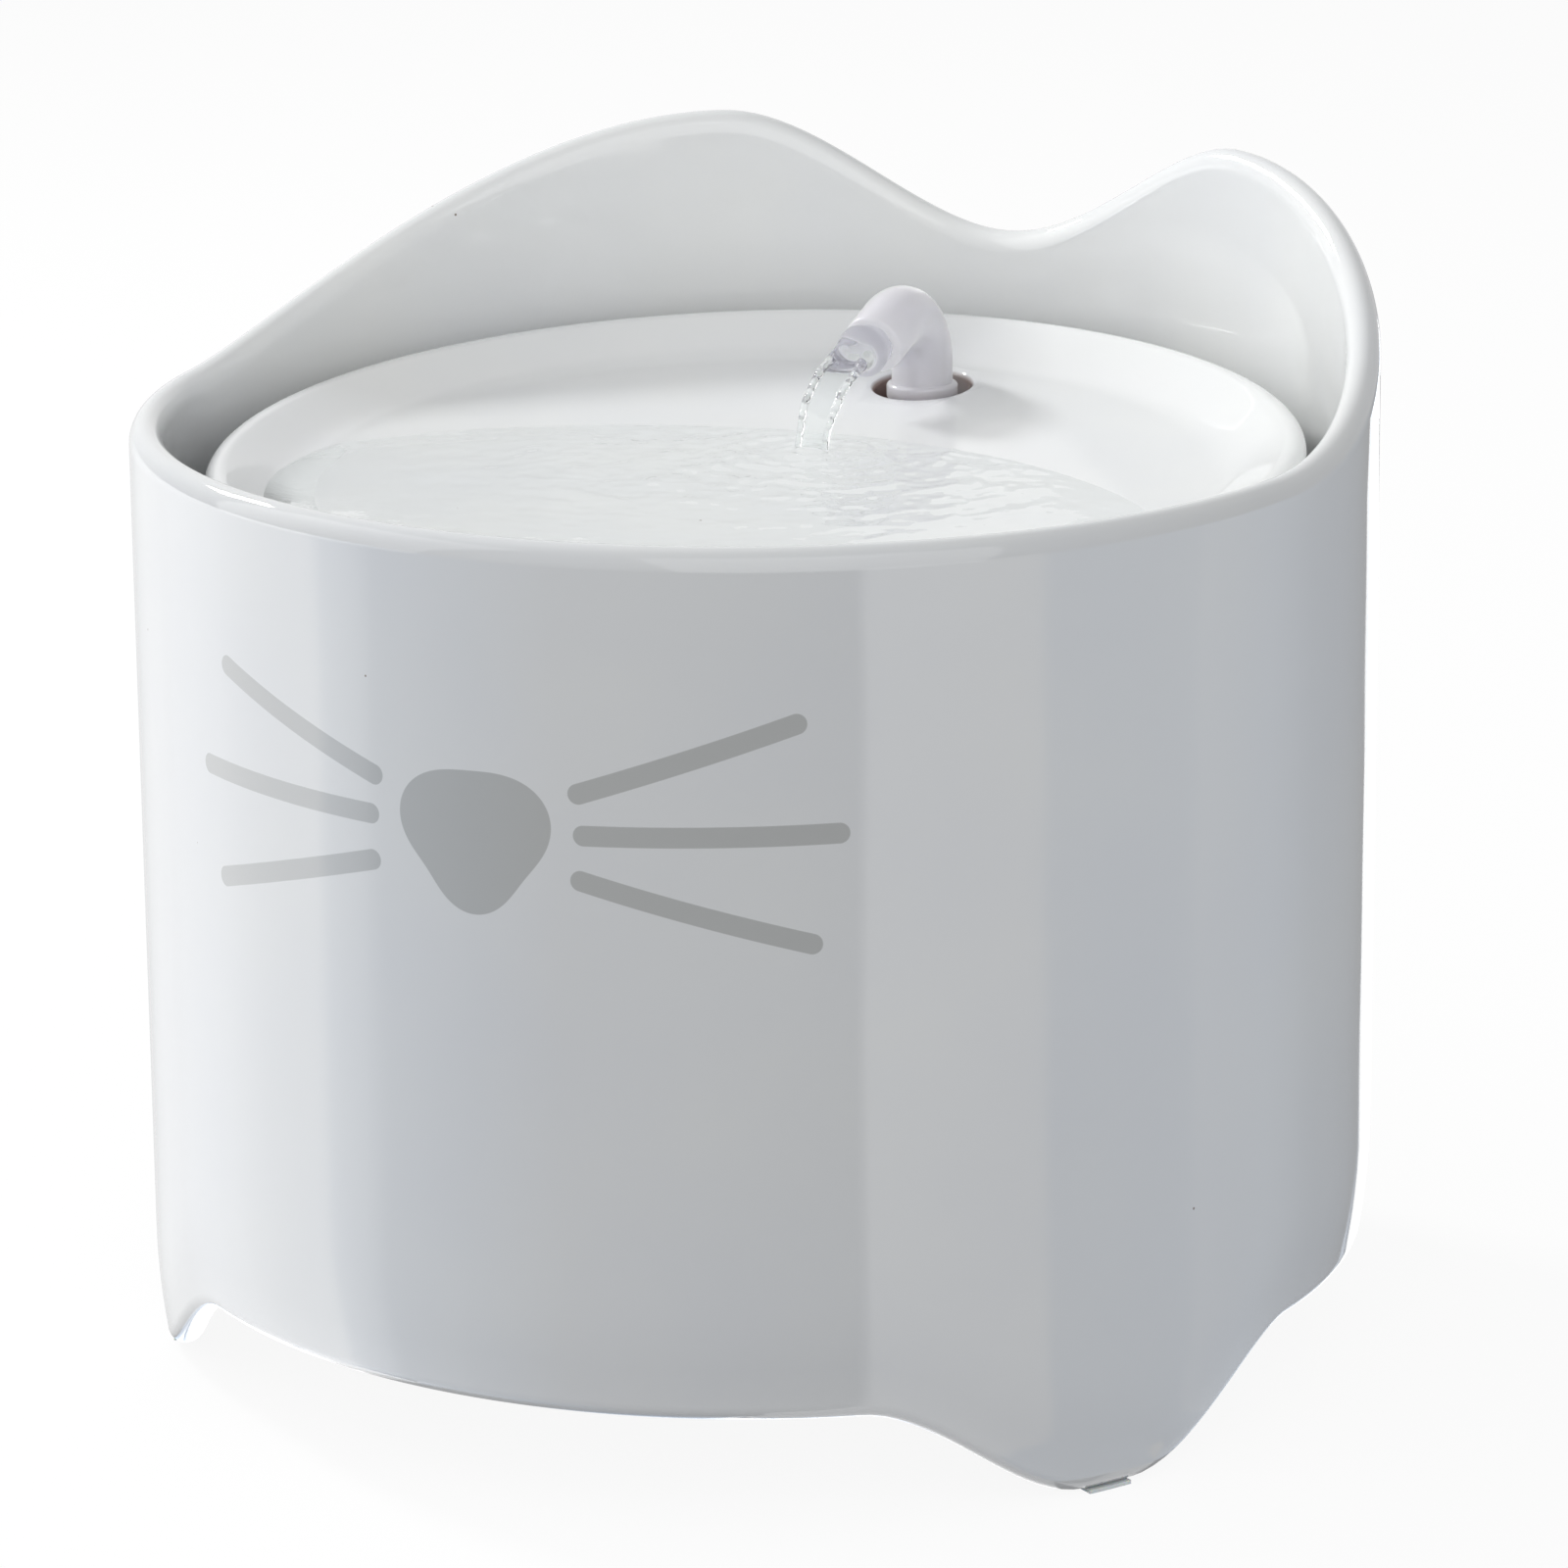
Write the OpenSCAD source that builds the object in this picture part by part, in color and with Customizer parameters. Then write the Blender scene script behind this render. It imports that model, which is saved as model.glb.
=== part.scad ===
// Round ceramic drinking fountain for cats: an ear-rimmed bowl on three scalloped feet, a
// tilted drinking dish, a swan-neck spout, and a submersible pump in a filter case.
// Millimetres. Z is up, -Y is the front, and the origin lies on the floor below the bowl's axis.

/* [Bowl] */
// Outer diameter of the bowl
bowl_d = 190; // [185:1:230]
// Wall thickness
wall = 5.2; // [4:0.1:6.4]
// Height of the rim at the front
rim_h = 147; // [142:0.2:180]
// Rise of the ears above the front rim
ear_rise = 29; // [15:0.5:40]
// Angle of each ear tip, from the front
ear_a = 150.5; // [140:0.5:160]
// Angle at which the rim starts to rise
rise_a = 82; // [60:1:100]
// Depth of the dip between the ears
dip = 18.6; // [8:0.2:28]
// Height of the rounded lip
lip_h = 3.4; // [2:0.1:5]
// Height of the reservoir floor above the ground
floor_z = 30; // [29:0.5:34]
// Thickness of the reservoir floor
floor_t = 6; // [5:0.2:7]
// Fillet between the reservoir floor and the wall
floor_r = 10; // [6:0.5:12]

/* [Feet] */
// Height of the arches between the feet
arch_h = 16.2; // [12:0.1:19]
// Half angle of the flat tip of a foot
foot_flat_a = 2.4; // [2:0.1:4]
// Angle over which a foot runs out into its arch
foot_slope_a = 22.2; // [15:0.2:30]
// How far the wall draws in at its lower edge
tuck = 1.2; // [0.6:0.1:5]
// Height over which the wall draws in
tuck_h = 16; // [8:0.5:24]
// Thickness of the silicone strip under a foot
foot_pad_t = 0.6; // [0.4:0.1:1.6]
// Width of that strip
foot_pad_w = 3.4; // [2.4:0.1:4]
// Angle that the strip covers
foot_pad_a = 4.6; // [4:0.1:5.4]

/* [Dish] */
// Gap between the dish and the wall of the bowl
dish_gap = 5.8; // [4:0.1:8]
// Depth of the middle of the dish's rim plane below the front rim of the bowl
dish_set = 6.1; // [4:0.1:12]
// Forward tilt of the dish
dish_tilt = 3; // [0:0.25:4]
// Thickness of the dish
dish_t = 4.6; // [3.5:0.1:6]
// Radius of the dish's rolled rim
dish_rim_r = 2.4; // [1.8:0.1:3]
// Width of the sloping band inside the rim
band_w = 13; // [8:0.5:20]
// Depth at the foot of the band
band_drop = 5; // [3:0.25:8]
// Depth at the middle of the dish
dish_drop = 7.5; // [5:0.25:10]
// Gap between the spout's ring and the hole in the dish
dish_hole_gap = 2.05; // [1:0.05:3]
// Thickness of the bumpers that the dish lies on
bumper_t = 1.5; // [1:0.1:3]
// Diameter of the bumpers
bumper_d = 7; // [5:0.5:8]
// How far the three ledges inside the bowl reach past the bumpers
ledge_lip = 0.5; // [0:0.1:2]
// Thickness of a ledge at its edge
ledge_t = 4; // [3:0.5:8]
// Height of the slope that carries a ledge
ledge_slope_h = 12; // [8:1:20]

/* [Spout] */
// Distance of the spout from the edge of the dish
spout_in = 24; // [23:0.5:30]
// Outer diameter of the spout
spout_od = 9.8; // [9:0.1:11]
// Wall thickness of the spout
spout_t = 1.7; // [1.2:0.1:2.2]
// Radius of the swan neck on its centre line
neck_r = 9; // [8:0.5:14]
// Angle through which the neck bends
neck_a = 110; // [80:5:160]
// Height above the dish's rim plane where the neck starts to bend
neck_rise = 0.9; // [0:0.1:15]
// Straight length after the bend
tip_l = 6.5; // [2:0.5:12]
// How far the ring round the spout stands out
ring_t = 0.8; // [0.3:0.1:1.6]
// Depth of the middle of that ring below the dish's rim plane
ring_drop = 3.5; // [0:0.1:8]
// Wall thickness of the stem that plugs into the sleeve
stem_t = 1.05; // [0.8:0.05:1.4]
// Length of the stem
stem_l = 13.5; // [8:0.5:20]
// Wall thickness of the sleeve
sleeve_t = 0.9; // [0.6:0.1:1.2]
// Thickness of the sleeve's flange
sleeve_flange_t = 1.5; // [1:0.1:3]

/* [Riser] */
// Wall thickness of the riser tube
riser_t = 1.95; // [1.4:0.05:2.4]
// Depth of the top of the riser tube below the dish's rim plane
riser_drop = 16.5; // [15:0.5:28]

/* [Filter case] */
// Room between the motor and the end of the case
motor_end_gap = 1.7; // [0.5:0.1:3]
// Room between the motor and each side of the case
motor_side_gap = 2.2; // [0.5:0.1:3]
// Room over the motor, under the lid
case_head = 7.1; // [6:0.1:14]
// Room between the pump and the cartridge
pump_gap = 2.5; // [0.5:0.1:4]
// Wall thickness of the case
case_t = 1.8; // [1.4:0.1:2.2]
// Radius of the case's upright corners
case_r = 8; // [6:0.5:10]
// Thickness of the lid
lid_t = 2; // [1.5:0.1:3]
// Height of the rails that the pump and the cartridge stand on
rail_h = 2; // [1.8:0.1:3]
// Width of a grille slot
slot_w = 2.2; // [1.5:0.1:3]
// Distance between grille slots
slot_pitch = 4; // [3.5:0.1:6]
// Height of a suction cup under the case
cup_h = 5; // [4:0.5:8]
// Diameter of a suction cup
cup_d = 13.2; // [10:0.2:13.6]

/* [Pump] */
// How far the square motor housing stands out round the pump's flange
motor_margin = 0.5; // [0:0.1:1.5]
// Wall thickness of the motor housing
motor_t = 1.6; // [1.2:0.1:2]
// Gap between the rotor magnet and the wall of its well
magnet_gap = 0.6; // [0.4:0.1:1]
// Diameter of the rotor magnet
magnet_d = 12; // [10:0.1:14.6]
// Length of the rotor magnet
magnet_l = 11.6; // [9:0.1:12.4]
// Diameter of the ceramic shaft
shaft_d = 2; // [1.5:0.1:2.5]
// Diameter of the impeller
impeller_d = 20; // [18:0.5:24]
// Number of impeller blades
blades = 6; // [4:1:8]
// Height of the impeller blades
blade_h = 5; // [4:0.1:6]
// Gap between the impeller and the wall of its chamber
impeller_gap = 1.5; // [1:0.1:2]
// Outer diameter of the outlet nozzle
nozzle_od = 9; // [8.5:0.1:10.8]
// Wall thickness of the outlet nozzle
nozzle_t = 1.4; // [1:0.1:1.8]
// Height of the outlet nozzle above the motor housing
nozzle_h = 13; // [10:0.5:16]
// Length over which the strainer cap grips the pump
strainer_grip = 1.2; // [0.5:0.1:1.4]
// Travel of the flow dial, from open to shut
dial_a = 45; // [30:5:45]

/* [Filter cartridge] */
// Length of the cartridge along the case
cart_l = 18.6; // [16:0.2:19]
// Wall thickness of the cartridge frame
cart_t = 1.4; // [1:0.1:2]
// Thickness of the foam sheet
foam_t = 7; // [4:0.5:8]
// Height of the pull tab on the cartridge's cap
tab_h = 7; // [4:0.5:8]

/* [Cord outlet] */
// Depth of the cord hole in the back wall below the front rim
cord_drop = 20.6; // [14:0.2:40]
// Diameter of the cord hole
cord_hole_d = 8; // [6:0.5:10]
// Diameter of the cord that the grommet takes
cord_d = 4; // [3:0.1:5]
// How far the grommet's flanges stand out round the hole
grommet_flange = 2; // [1.5:0.1:3]
// Thickness of the grommet's flanges
grommet_t = 1.2; // [0.8:0.1:2]

/* [Hidden] */
$fn = 64;

run_gap = 0.05;      // radial running clearance of a pin in its bore
snug = 0.1;          // gap between faces that rest on each other
slide_gap = 0.4;     // gap round a piece that lifts out
eps = 0.01;
over = 1;            // how far a cutter runs past a face
R = bowl_d / 2;
ri = R - wall;
seat_chamfer = 1.2;                       // bevel at the outer edge of the dish's seat
dish_r = ri - dish_gap;
dish_z = rim_h - dish_set;
spout_y = dish_r - spout_in;
columns = 120;       // upright lines of the bowl's loft
step_a = 360 / columns;

// ---------- bowl ----------
feet_n = 3;
span_a = 360 / feet_n;
edge_r = wall / 2;                        // rounding of the lower edge
edge_mid = R - tuck - edge_r;             // radius of the middle of the lower edge
skirt_r = edge_mid - edge_r;              // inside of the skirt
under_z = floor_z - floor_t;
skirt_fillet = 3;                         // fillet between the skirt and the underside of the floor
ledge_flat_a = 3.5;                       // half angle of a ledge at its full depth
ledge_side_a = 5;                         // angle over which a ledge runs out into the wall
ledge_min = 0.3;                          // what is left of it between the ledges
ledge_d = dish_gap + seat_chamfer + bumper_d + ledge_lip;
seat_t = 5.6;                             // height of the dish's seat ring below its rolled rim
seat_drop = dish_rim_r * 2 + seat_t;      // underside of the seat below the rim plane
ledge_drop = seat_drop + bumper_t + 2 * snug;

function smooth(t) = t <= 0 ? 0 : t >= 1 ? 1 : t * t * (3 - 2 * t);
function from_front(a) = abs(a > 180 ? a - 360 : a);
function rim_z(a) = let (f = from_front(a))
  rim_h + ear_rise * smooth((f - rise_a) / (ear_a - rise_a)) - dip * smooth((f - ear_a) / (180 - ear_a));
function from_foot(a) = abs((a % span_a) - span_a / 2);
function edge_z(a) = foot_pad_t + arch_h * smooth((from_foot(a) - foot_flat_a) / foot_slope_a);
function from_ledge(a) = span_a / 2 - from_foot(a);
function ledge_share(a) = 1 - smooth((from_ledge(a) - ledge_flat_a) / ledge_side_a);
// height of a plane of the tilted dish, drop below its rim plane, at radius r and angle a
function dish_plane(r, a, drop) = dish_z - r * cos(a) * tan(dish_tilt) - drop / cos(dish_tilt);

// the bowl's section at angle a, from under the floor, round the wall, to the reservoir floor
function section(a) = let (
    lip = rim_z(a), edge = edge_z(a) + edge_r, share = ledge_share(a),
    reach = ledge_min + (ledge_d - ledge_min) * share,
    top = dish_plane(ri, a, ledge_drop), tip = dish_plane(ri - reach, a, ledge_drop))
  concat(
    [for (t = [0, 45, 90]) [skirt_r - skirt_fillet * (1 - sin(t)), under_z - skirt_fillet * (1 - cos(t))]],
    [for (t = [180:45:360]) [edge_mid + edge_r * cos(t), edge + edge_r * sin(t)]],
    [for (u = [1 / 3, 2 / 3, 1]) [R - tuck * (1 - u) * (1 - u), edge + tuck_h * u]],
    [for (t = [0:30:180]) [R - wall / 2 + wall / 2 * cos(t), lip - lip_h + lip_h * sin(t)]],
    [[ri, top + ledge_min * (1 - share)], [ri - reach, tip], [ri - reach, tip - ledge_t],
     [ri, tip - ledge_t - ledge_slope_h]],
    [for (t = [0:30:90]) [ri - floor_r * (1 - cos(t)), floor_z + floor_r * (1 - sin(t))]]
  );

module bowl_loft() {
  rows = len(section(0));
  rings = [for (k = [0:columns - 1]) section(k * step_a)];
  points = concat(
    [for (k = [0:columns - 1]) for (p = rings[k])
      [p[0] * sin(k * step_a), -p[0] * cos(k * step_a), p[1]]],
    [[0, 0, under_z], [0, 0, floor_z]]);
  last = columns * rows;
  faces = concat(
    [for (k = [0:columns - 1]) let (n = (k + 1) % columns) for (m = [0:rows - 2]) each [
      [k * rows + m, n * rows + m + 1, n * rows + m],
      [k * rows + m, k * rows + m + 1, n * rows + m + 1]]],
    [for (k = [0:columns - 1]) let (n = (k + 1) % columns) each [
      [last, k * rows, n * rows],
      [last + 1, n * rows + rows - 1, k * rows + rows - 1]]]);
  polyhedron(points, faces);
}

cord_z = rim_h - cord_drop;
grommet_d = cord_hole_d + 2 * grommet_flange;

module at_cord_hole() {
  translate([0, R, cord_z]) rotate([90, 0, 0]) children();
}

module bowl() {
  color("white")
  difference() {
    bowl_loft();
    at_cord_hole() {
      translate([0, 0, -wall]) cylinder(d = cord_hole_d, h = 3 * wall);
      translate([0, 0, -wall]) cylinder(d = grommet_d + 2 * slide_gap, h = wall + grommet_t + 2 * snug);
    }
  }
}

module foot_pads() {
  color("gainsboro")
  for (k = [0:feet_n - 1]) rotate([0, 0, -90 + span_a * (k + 0.5) - foot_pad_a / 2])
    rotate_extrude(angle = foot_pad_a)
      translate([edge_mid - foot_pad_w / 2, 0]) square([foot_pad_w, foot_pad_t]);
}

// ---------- dish ----------
module in_dish() {
  translate([0, 0, dish_z]) rotate([dish_tilt, 0, 0]) children();
}

band_r = dish_r - band_w;
rim_mid_r = dish_r - dish_rim_r;
seat_w = 8;                               // width of the flat seat ring
seat_r = dish_r - seat_w;
floor_steps = 8;
band_ease = 2;                            // run of the curve between the floor and the band
ring_d = spout_od + 2 * ring_t;
dish_hole_d = ring_d + 2 * dish_hole_gap;
function dish_floor(r) = dish_drop - (dish_drop - band_drop) * (r / band_r) * (r / band_r);

// the dish's section: floor, sloping band, rolled rim, flat seat ring and the underside
module dish_section() {
  floor_r_steps = [for (k = [0:floor_steps]) (band_r - band_ease) * k / floor_steps];
  polygon(concat(
    [for (r = floor_r_steps) [r, -dish_floor(r)]],
    [[band_r + band_ease / 4, band_ease / 5 - band_drop]],
    [for (t = [120:-15:0]) [rim_mid_r + dish_rim_r * cos(t), dish_rim_r * (sin(t) - 1)]],
    [[dish_r, seat_chamfer / 2 - seat_drop], [dish_r - seat_chamfer, -seat_drop], [seat_r, -seat_drop],
     [band_r + band_ease, -band_drop - dish_t]],
    [for (k = [floor_steps:-1:0]) [floor_r_steps[k], -dish_floor(floor_r_steps[k]) - dish_t]]));
}

module dish() {
  color("white")
  in_dish() difference() {
    rotate_extrude($fn = 128) dish_section();
    translate([0, spout_y, -dish_drop - 3 * dish_t]) cylinder(d = dish_hole_d, h = 5 * dish_t);
  }
}

bumper_mid_r = dish_r - seat_chamfer - bumper_d / 2;

module dish_bumpers() {
  color("gainsboro")
  in_dish() for (k = [0:feet_n - 1]) rotate([0, 0, span_a * k])
    translate([0, -bumper_mid_r, -seat_drop - snug - bumper_t]) cylinder(d = bumper_d, h = bumper_t);
}

// ---------- spout ----------
neck_z = dish_z + neck_rise;
ring_z = dish_z - ring_drop;
riser_id = nozzle_od + 2 * run_gap;
riser_od = riser_id + 2 * riser_t;
riser_top_z = dish_z - riser_drop;
spout_id = spout_od - 2 * spout_t;
sleeve_od = riser_id - 2 * run_gap;
sleeve_id = sleeve_od - 2 * sleeve_t;
sleeve_flange_d = riser_od - 1;
stem_od = sleeve_id - 2 * run_gap;
stem_id = stem_od - 2 * stem_t;
sleeve_top_z = riser_top_z + snug + sleeve_flange_t;
spout_foot_z = sleeve_top_z + snug;
stem_z = spout_foot_z - stem_l;
sleeve_bottom_z = stem_z - 0.5;           // the sleeve reaches just past the stem
ring_h = 2.6;
ring_bevel = 0.6;
bore_step = 2;                            // height of the step between the bores of stem and spout

module on_spout() {
  translate([0, spout_y, 0]) children();
}

module tube(od, id, h) {
  linear_extrude(h) difference() {
    circle(d = od);
    circle(d = id);
  }
}

// the swan neck: a bend from upright to the front, and a short straight tip
module swan_neck() {
  translate([0, -neck_r, neck_z]) rotate([90, 0, 90]) {
    rotate_extrude(angle = neck_a) translate([neck_r, 0]) difference() {
      circle(d = spout_od);
      circle(d = spout_id);
    }
    rotate([0, 0, neck_a]) translate([neck_r, -eps, 0]) rotate([-90, 0, 0])
      tube(spout_od, spout_id, tip_l + eps);
  }
}

module spout() {
  color("aliceblue")
  on_spout() {
    swan_neck();
    difference() {
      union() {
        translate([0, 0, spout_foot_z]) cylinder(d = spout_od, h = neck_z - spout_foot_z);
        translate([0, 0, stem_z]) cylinder(d = stem_od, h = stem_l + over);
        translate([0, 0, ring_z - ring_h / 2]) {
          cylinder(d1 = ring_d - 2 * ring_bevel, d2 = ring_d, h = ring_bevel);
          translate([0, 0, ring_bevel]) cylinder(d = ring_d, h = ring_h - 2 * ring_bevel);
          translate([0, 0, ring_h - ring_bevel])
            cylinder(d1 = ring_d, d2 = ring_d - 2 * ring_bevel, h = ring_bevel);
        }
      }
      translate([0, 0, spout_foot_z + bore_step]) cylinder(d = spout_id, h = neck_z);
      translate([0, 0, stem_z - over]) cylinder(d = stem_id, h = stem_l + bore_step + 2 * over);
    }
  }
}

module spout_sleeve() {
  color("lavender")
  on_spout() difference() {
    union() {
      translate([0, 0, sleeve_bottom_z])
        cylinder(d = sleeve_od, h = sleeve_top_z - sleeve_bottom_z);
      translate([0, 0, riser_top_z + snug]) cylinder(d = sleeve_flange_d, h = sleeve_flange_t);
    }
    translate([0, 0, sleeve_bottom_z - over])
      cylinder(d = sleeve_id, h = sleeve_top_z - sleeve_bottom_z + 2 * over);
  }
}

// ---------- the pump's places along its shaft, from the front of the motor housing ----------
motor_x = 5;
well_d = magnet_d + 2 * magnet_gap;
chamber_d = impeller_d + 2 * impeller_gap;
chamber_t = 2;
seal_r = 0.85;
seal_mid_r = chamber_d / 2 + chamber_t;
flange_lip = 1.05;                        // flange left outside the seal's groove
flange_d = 2 * (seal_mid_r + seal_r + snug + flange_lip);
flange_t = 3.4;
motor_w = flange_d + 2 * motor_margin;
bush_d = 5;
bush_t = 1.6;
bush_seat_t = 1.2;
magnet_off = 3;                           // from the housing's front to the magnet
magnet_end_gap = 1.2;                     // play behind the magnet
well_t = 1;
well_l = magnet_off + magnet_l + magnet_end_gap + bush_seat_t;
plug_t = 3;
board_t = 1.6;
board_gap = 0.9;                          // between the rotor well and the driver board
inside_gap = 0.5;                         // room round the pieces in the motor's cavity
motor_l = well_l + well_t + board_gap + board_t + inside_gap + plug_t;
rotor_gap = 0.4;                          // play of the rotor along its shaft
disc_t = 1.2;
blade_gap = 2.4;                          // room in front of the blades
chamber_l = rotor_gap + disc_t + blade_h + blade_gap;
chamber_x = motor_x - chamber_l;          // inside of the chamber's front wall
front_bush_x = chamber_x - chamber_t;
strainer_t = 1.4;
strainer_l = 7;
strainer_x = front_bush_x - snug - strainer_l;
dial_t = 1.4;
dial_x = strainer_x - snug - dial_t;
pin_head_t = 1;
pump_front_x = dial_x - snug - pin_head_t;

// ---------- filter case ----------
case_w = motor_w + 2 * (motor_side_gap + case_t);
case_h = case_t + rail_h + snug + motor_w + case_head;
case_right = motor_x + motor_l + motor_end_gap + case_t;
cart_end_x = pump_front_x - pump_gap;
cart_x = cart_end_x - cart_l;
case_left = case_t + slide_gap - cart_x;
case_z = floor_z + cup_h;
case_in_z = case_z + case_t;
case_top_z = case_z + case_h;
lid_z = case_top_z + snug;
stand_z = case_in_z + rail_h + snug;      // underside of the pump and of the cartridge
case_y = spout_y - case_w / 2;
case_l = case_left + case_right;
split_in = 4.2;                           // from the cartridge to where the lid meets its cap
split_x = cart_end_x + split_in;
pump_z = stand_z + motor_w / 2;
cup_end_in = 11;                          // places of the suction cups in the case's floor
cup_front_in = 7;
cup_back_in = 13;
cup_x = [cup_end_in - case_left, case_right - cup_end_in];
cup_y = [case_y + cup_front_in, case_y + case_w - cup_back_in];
cup_neck_d = 4.4;
rail_half = 4;                            // half the distance between the rails
rail_mid_y = (cup_y[0] + cup_y[1]) / 2;
rail_y = [rail_mid_y - rail_half, rail_mid_y + rail_half];
rail_w = 2;
rail_end_gap = 1;
rib_w = 2;                                // ribs in the side walls that guide the cartridge
rib_t = 1.6;
rib_head = 4;
lip_t = 1.4;                              // lip under the lid, inside the case
lip_drop = 2.5;

// a rounded rectangle from its lower left corner
module round_rect(size, r) {
  translate([r, 0]) square([size[0] - 2 * r, size[1]]);
  translate([0, r]) square([size[0], size[1] - 2 * r]);
  for (x = [r, size[0] - r], y = [r, size[1] - r]) translate([x, y]) circle(r);
}

// the case's plan drawn in by inset
module case_plan(inset) {
  translate([-case_left + inset, case_y + inset])
    round_rect([case_l - 2 * inset, case_w - 2 * inset], case_r - inset);
}

slot_foot = 5;                            // wall left under and over the slots
slot_head = 9;
slot_z = case_in_z + slot_foot;
slot_h = case_h - slot_foot - slot_head;
end_slots = floor((case_w - 2 * case_r - slot_w) / slot_pitch);
side_slots = 4;

module grille_slots() {
  for (k = [-end_slots / 2:end_slots / 2])
    translate([-case_left - over, spout_y + k * slot_pitch - slot_w / 2, slot_z])
      cube([case_t + 2 * over, slot_w, slot_h]);
  for (k = [0:side_slots - 1])
    translate([-case_left + case_r + over + k * slot_pitch, case_y - over, slot_z])
      cube([slot_w, case_w + 2 * over, slot_h]);
}

module filter_case() {
  color("whitesmoke")
  difference() {
    union() {
      difference() {
        translate([0, 0, case_z]) linear_extrude(case_h) case_plan(0);
        translate([0, 0, case_in_z]) linear_extrude(case_h) case_plan(case_t);
      }
      for (y = rail_y)
        translate([-case_left + case_t + rail_end_gap, y - rail_w / 2, case_in_z - eps])
          cube([case_l - 2 * (case_t + rail_end_gap), rail_w, rail_h + eps]);
      for (y = [case_y + case_t - eps, case_y + case_w - case_t - rib_w])
        translate([cart_end_x + slide_gap, y, case_in_z - eps])
          cube([rib_t, rib_w + eps, case_h - case_t - rib_head]);
    }
    grille_slots();
    for (x = cup_x, y = cup_y)
      translate([x, y, case_z - over]) cylinder(d = cup_neck_d + 2 * run_gap, h = case_t + 2 * over);
  }
}

riser_hole_d = riser_od + 2 * slide_gap;
gland_in = 8;                             // from the motor's end to the gland
gland_x = motor_x + motor_l - gland_in;
gland_od = cord_d + 3;
gland_collar_d = gland_od + 2;
gland_collar_t = 1.2;
gland_h = 4;
lid_cord_d = gland_od + 2;                // hole in the lid for the cord

module case_lid() {
  color("whitesmoke")
  difference() {
    union() {
      translate([0, 0, lid_z]) linear_extrude(lid_t) intersection() {
        case_plan(0);
        translate([split_x + snug, 0]) square([case_l, bowl_d]);
      }
      translate([0, 0, lid_z - lip_drop]) linear_extrude(lip_drop + eps) difference() {
        intersection() {
          case_plan(case_t + slide_gap);
          translate([split_x + over, 0]) square([case_l, bowl_d]);
        }
        intersection() {
          case_plan(case_t + slide_gap + lip_t);
          translate([split_x + over + lip_t, 0]) square([case_l, bowl_d]);
        }
      }
    }
    on_spout() translate([0, 0, lid_z - over]) cylinder(d = riser_hole_d, h = lid_t + 2 * over);
    translate([gland_x, spout_y, lid_z - over]) cylinder(d = lid_cord_d, h = lid_t + 2 * over);
  }
}

cup_lip_t = 0.8;
cup_hollow = 1.8;                         // depth of the hollow under a cup
cup_wall = 1.8;
cup_shoulder = 1.2;                       // how far the body stands out from the neck
cup_button = 1;                           // how far the button inside the case stands out
cup_button_h = 1.4;

module suction_cups() {
  cup_r = cup_d / 2;
  stem_r = cup_neck_d / 2;
  body_r = stem_r + cup_shoulder;
  body_top = cup_h - 2 * snug;
  button_z = cup_h + case_t;
  color("lightgray")
  for (x = cup_x, y = cup_y) translate([x, y, floor_z + snug]) rotate_extrude()
    polygon([[0, cup_hollow], [cup_r - cup_wall, cup_hollow / 3], [cup_r, 0], [cup_r, cup_lip_t],
             [cup_r - cup_wall, cup_lip_t + cup_hollow / 2], [body_r, cup_hollow + cup_wall],
             [body_r, body_top], [stem_r, body_top], [stem_r, button_z],
             [stem_r + cup_button, button_z], [stem_r + cup_button / 2, button_z + cup_button_h],
             [0, button_z + cup_button_h]]);
}

// ---------- filter cartridge ----------
cart_y = case_y + case_t + slide_gap;
cart_w = case_w - 2 * (case_t + slide_gap);
cart_top_z = lid_z + eps;
cart_mid_x = cart_x + cart_l / 2;
cart_r = case_r - case_t - slide_gap;
window_m = 4;                             // frame left under and over the windows
window_w = 6.4;
window_pitch = 8;
tab_w = 14;
tab_t = 2;
tab_margin = 2;                           // frame left round the hole in the pull tab
tab_hole_w = 8;
media_head = 4;                           // space over the filter media

module cart_plan(inset) {
  translate([cart_x + inset, cart_y + inset])
    round_rect([cart_l - 2 * inset, cart_w - 2 * inset], cart_r - inset);
}

carbon_t = cart_l - 2 * cart_t - foam_t - 3 * slide_gap;
media_w = cart_w - 2 * cart_r;
media_z = stand_z + cart_t + slide_gap;
media_h = case_top_z - media_z - media_head;

module cartridge_frame() {
  color("gainsboro")
  difference() {
    union() {
      translate([0, 0, stand_z]) linear_extrude(cart_top_z - stand_z) cart_plan(0);
      translate([0, 0, lid_z]) linear_extrude(lid_t) intersection() {
        case_plan(0);
        translate([-case_l, 0]) square([case_l + split_x - snug, bowl_d]);
      }
      translate([cart_mid_x - tab_t / 2, spout_y - tab_w / 2, lid_z + lid_t - eps])
        cube([tab_t, tab_w, tab_h + eps]);
    }
    translate([cart_x + cart_t, spout_y - media_w / 2 - slide_gap, stand_z + cart_t])
      cube([cart_l - 2 * cart_t, media_w + 2 * slide_gap, media_h + 2 * slide_gap]);
    for (k = [-1, 0, 1])
      translate([cart_x - over, spout_y + k * window_pitch - window_w / 2, stand_z + window_m])
        cube([cart_l + 2 * over, window_w, media_h - 2 * window_m + cart_t]);
    translate([cart_mid_x - tab_t, spout_y - tab_hole_w / 2, lid_z + lid_t + tab_margin])
      cube([2 * tab_t, tab_hole_w, tab_h - 2 * tab_margin]);
  }
}

module media_block(x, t) {
  translate([x, spout_y - media_w / 2, media_z]) cube([t, media_w, media_h]);
}

module foam_sheet() {
  color("steelblue") media_block(cart_x + cart_t + slide_gap, foam_t);
}

module carbon_pack() {
  color("dimgray") media_block(cart_x + cart_t + 2 * slide_gap + foam_t, carbon_t);
}

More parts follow.
